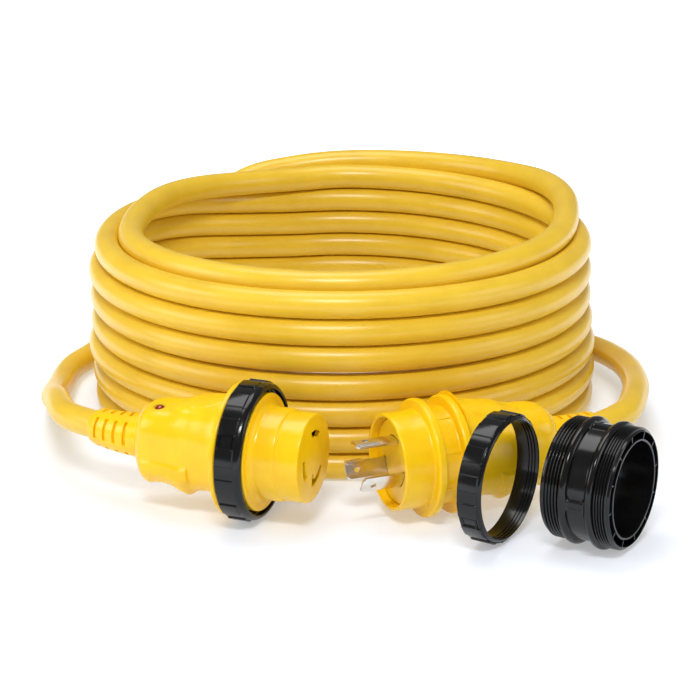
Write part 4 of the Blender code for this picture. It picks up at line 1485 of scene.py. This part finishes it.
# ----------------------------------------------------------------------------- sleeve
@dataclass
class Sleeve:
    """The loose threaded sleeve: two threads, two collars and a channel with four windows."""

    tools: Tools
    place: Place = SLEEVE_PLACE
    front: float = 10.6 * MM
    back: float = -26.7 * MM
    collars: tuple[float, float] = (-14.7 * MM, 0.0)
    thread_radius: float = 30.8 * MM
    collar_radius: float = 32.3 * MM
    channel_radius: float = 31.2 * MM
    window_depth: float = 1.6 * MM
    bore: float = 24.2 * MM
    groove: tuple[float, float] = (25.4 * MM, 28.9 * MM)
    groove_depth: float = 12.0 * MM
    ridges: int = 5
    end_ribs: int = 12
    rib_half: float = 1.5 * MM
    first_rib: float = radians(183.0)

    def bead(self, x: float) -> float:
        """The outer radius between the two threads, with its two round collars."""
        width = 1.7 * MM
        rise = sum(exp(-((x - middle) / width) ** 4) for middle in self.collars)
        between = self.collars[0] < x < self.collars[1]
        base = self.channel_radius if between else self.thread_radius - 0.9 * MM
        return base + (self.collar_radius - base) * min(1.0, rise)

    def window(self, x: float, angle: float) -> float:
        """How deep a window is at a place: its corners are rounded."""
        corner = 3.0 * MM
        half_x = 4.9 * MM
        middle = sum(self.collars) / 2.0
        half_arc = self.channel_radius * radians(45.0) - self.rib_half
        across = abs(x - middle) - half_x + corner
        around = abs(angle) * self.channel_radius - half_arc + corner
        outside = hypot(max(0.0, across), max(0.0, around)) + min(0.0, max(across, around)) - corner
        return self.window_depth * (1.0 - blend(outside, -0.5 * MM, 0.25 * MM))

    def thread(self, start: float, end: float) -> list[Point]:
        """Ridges from one local x to the next."""
        pitch = (end - start) / self.ridges
        low, high = self.thread_radius - 1.0 * MM, self.thread_radius
        shoulder = high - 0.12 * MM
        ridge = ((0.05, low), (0.22, low), (0.42, shoulder), (0.52, high), (0.68, high),
                 (0.78, shoulder), (0.95, low))
        return [(start + (k + share) * pitch, radius)
                for k in range(self.ridges) for share, radius in ridge]

    def outline(self, angle: float) -> list[Point]:
        """The closed outline at an angle from a window's middle."""
        lead, chamfer = 1.3 * MM, 0.4 * MM
        rim, shoulder = self.thread_radius - 1.7 * MM, self.thread_radius - 1.2 * MM
        points = [(self.back, rim), (self.back + chamfer, shoulder)]
        points += self.thread(self.back + lead, self.collars[0] - 2.1 * MM)
        start, end = self.collars[0] - 2.0 * MM, self.collars[1] + 2.0 * MM
        steps = 46
        for k in range(steps + 1):
            x = start + (end - start) * k / steps
            points.append((x, self.bead(x) - self.window(x, angle)))
        points += self.thread(self.collars[1] + 2.1 * MM, self.front - lead)
        points += [(self.front - chamfer, shoulder), (self.front, rim)]
        inner, outer = self.groove
        edge = 0.25 * MM
        points += [(self.front, outer + edge), (self.front - edge, outer),
                   (self.front - self.groove_depth, outer), (self.front - self.groove_depth, inner),
                   (self.front - edge, inner), (self.front, inner - edge)]
        points += [(self.front, self.bore + edge), (self.front - edge, self.bore),
                   (self.back + edge, self.bore), (self.back, self.bore + edge)]
        points += [(self.back, inner - edge), (self.back + edge, inner),
                   (self.back + self.groove_depth, inner), (self.back + self.groove_depth, outer),
                   (self.back + edge, outer), (self.back, outer + edge)]
        return points

    def end_rib(self, x_range: Point) -> Mesh:
        """One thin rib across an end groove."""
        half = 0.35 * MM / self.groove[0]
        radii = (self.groove[0] - 0.2 * MM, self.groove[1] + 0.2 * MM)
        return bevelled(curved_block(x_range, radii, (-half, half), 1), 0.12 * MM)

    def build(self) -> bpy.types.Object:
        """Build the sleeve.

        Returns:
            The sleeve.
        """
        steps = 36
        angles = [radians(-45.0 + 90.0 * k / steps) for k in range(steps + 1)]
        repeat, black = self.tools.repeat, self.tools.palette.black
        shell = repeat.apply(sector(angles, self.outline), around=4, along=1, pitch=0.0,
                             first_angle=self.first_rib + radians(45.0), material=black)
        recess = 0.4 * MM
        parts = [shell]
        for x_range in ((self.front - 9.0 * MM, self.front - recess),
                        (self.back + recess, self.back + 9.0 * MM)):
            parts.append(repeat.apply(self.end_rib(x_range), around=self.end_ribs, along=1,
                                      pitch=0.0, first_angle=radians(8.0), material=black))
        piece = put("sleeve_skin", joined(*parts), self.place.matrix, black, sharp=38.0)
        return settle(piece, Body.SLEEVE, Slot.RING, "coupling_sleeve")


# ------------------------------------------------------------------------ inner pieces
def dress_inner_nodes(palette: Palette) -> None:
    """Give the CAD pieces that stay inside the couplings their finishes."""
    finishes = {"connector_contact_carrier": palette.insulator,
                "connector_lamp_board": palette.board}
    for pole, core in palette.cores.items():
        finishes["connector_contact_" + pole] = palette.brass
        for coupling in ("connector", "plug"):
            finishes[f"{coupling}_crimp_{pole}"] = palette.brass
            finishes[f"{coupling}_core_{pole}"] = core
    for node, finish in finishes.items():
        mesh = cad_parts[node].data
        mesh.materials.clear()
        mesh.materials.append(finish)
    LOG.info("%d inner pieces dressed", len(finishes))


# ------------------------------------------------------------------------------ studio
@dataclass(frozen=True)
class Softbox:
    """A rectangular light: its place, its two sides in metres and its power in watts."""

    name: str
    place: tuple[float, float, float]
    size: Point
    power: float


@dataclass
class Studio:
    """The camera, the white floor and the soft lights."""

    camera_place: tuple[float, float, float] = (-0.0086, -1.0740, 0.4502)
    camera_pitch: float = 0.3213
    lens: float = 116.95
    sensor: float = 36.0
    floor_half: float = 8.0
    floor_top: float = -0.2 * MM
    floor_depth: float = 20.0 * MM
    # The floor's painted glow, weaker near the cord: from and to these distances, from and to these
    # strengths.
    floor_glow: tuple[float, float, float, float] = (0.16, 0.42, 0.34, 1.0)
    glow_centre: tuple[float, float, float] = (0.0, 0.12, 0.0)
    lit_point: tuple[float, float, float] = (0.0, 0.10, 0.04)
    room_colour: tuple[float, float, float, float] = (0.97, 0.98, 1.0, 1.0)
    room_strength: float = 0.27
    softboxes: tuple[Softbox, ...] = (
        Softbox("overhead", (-0.25, 0.55, 1.9), (1.3, 1.0), 16.0),
        Softbox("front", (-0.16, -1.35, 1.85), (0.70, 0.30), 27.0),
        Softbox("left", (-1.9, -0.3, 0.9), (1.2, 1.0), 14.0),
        Softbox("right", (1.9, -0.5, 0.9), (1.0, 1.0), 8.0))

    def build_camera(self) -> None:
        """Make the scene's camera, level and looking down at the cord."""
        data = bpy.data.cameras.new("camera")
        data.lens = self.lens
        data.sensor_width = self.sensor
        camera = bpy.data.objects.new("camera", data)
        camera.location = self.camera_place
        camera.rotation_euler = (pi / 2.0 - self.camera_pitch, 0.0, 0.0)
        bpy.context.scene.collection.objects.link(camera)
        bpy.context.scene.camera = camera

    def build_floor(self) -> None:
        """A wide white floor that glows: painted light, weaker near the cord, which leaves painted
        shade round it.
        """
        half, top = self.floor_half, self.floor_top
        bm = block([Vector((x * half, y * half, z)) for z in (-self.floor_depth, top)
                    for x, y in ((-1, -1), (1, -1), (1, 1), (-1, 1))])
        bmesh.ops.recalc_face_normals(bm, faces=bm.faces)
        floor = bpy.data.objects.new("floor", to_mesh(bm))
        finish = bpy.data.materials.new("white_floor")
        finish.use_nodes = True
        shader = finish.node_tree.nodes["Principled BSDF"]
        # Tinted blue to cancel the yellow bounce light in the floor's shadows.
        shader.inputs["Base Color"].default_value = (0.62, 0.66, 0.74, 1.0)
        shader.inputs["Roughness"].default_value = 0.6
        shader.inputs["Specular IOR Level"].default_value = 0.2
        # Painted light: the floor glows white, less near the cord.
        shader.inputs["Emission Color"].default_value = (1.0, 1.0, 1.0, 1.0)
        self.paint_floor_glow(finish.node_tree, shader.inputs["Emission Strength"])
        floor.data.materials.append(finish)
        bpy.context.scene.collection.objects.link(floor)

    def paint_floor_glow(self, tree: bpy.types.NodeTree, strength: bpy.types.NodeSocket) -> None:
        """Paint a glow on the floor that grows with the distance from the cord: painted shade near it,
        painted light further off.
        """
        sheet = NodeSheet(tree)
        place = sheet.add("ShaderNodeTexCoord").outputs["Object"]
        distance = sheet.add("ShaderNodeVectorMath", {0: place, 1: self.glow_centre},
                             operation="DISTANCE")
        ends = dict(zip(("From Min", "From Max", "To Min", "To Max"), self.floor_glow))
        fade = sheet.add("ShaderNodeMapRange", {"Value": distance.outputs["Value"], **ends},
                         interpolation_type="SMOOTHSTEP")
        tree.links.new(fade.outputs["Result"], strength)

    def build_softbox(self, box: Softbox) -> None:
        """A rectangular light that faces the middle of the cord."""
        data = bpy.data.lights.new(box.name, "AREA")
        data.shape = "RECTANGLE"
        data.size, data.size_y = box.size
        data.energy = box.power
        lamp = bpy.data.objects.new(box.name, data)
        lamp.location = box.place
        facing = Vector(self.lit_point) - Vector(box.place)
        lamp.rotation_euler = facing.to_track_quat("-Z", "Y").to_euler()
        bpy.context.scene.collection.objects.link(lamp)

    def build_lights(self) -> None:
        """Soft overhead and side boxes, a front box that makes the highlights, and a grey room."""
        for box in self.softboxes:
            self.build_softbox(box)
        world = bpy.data.worlds.new("room")
        world.use_nodes = True
        background = world.node_tree.nodes["Background"]
        background.inputs["Color"].default_value = self.room_colour
        background.inputs["Strength"].default_value = self.room_strength
        scene = bpy.context.scene
        scene.world = world
        scene.view_settings.view_transform = "Standard"


def main() -> None:
    """Build the camera, the cable, every coupling and then the studio."""
    logging.basicConfig(level=logging.INFO, format="%(name)s: %(message)s")
    studio = Studio()
    studio.build_camera()
    tools = Tools(Palette(), RepeatTool(), JacketTool())
    Cable(tools).build()
    Connector(tools).build()
    Plug(tools).build()
    Sleeve(tools).build()
    dress_inner_nodes(tools.palette)
    studio.build_floor()
    studio.build_lights()


if __name__ == "__main__":
    main()
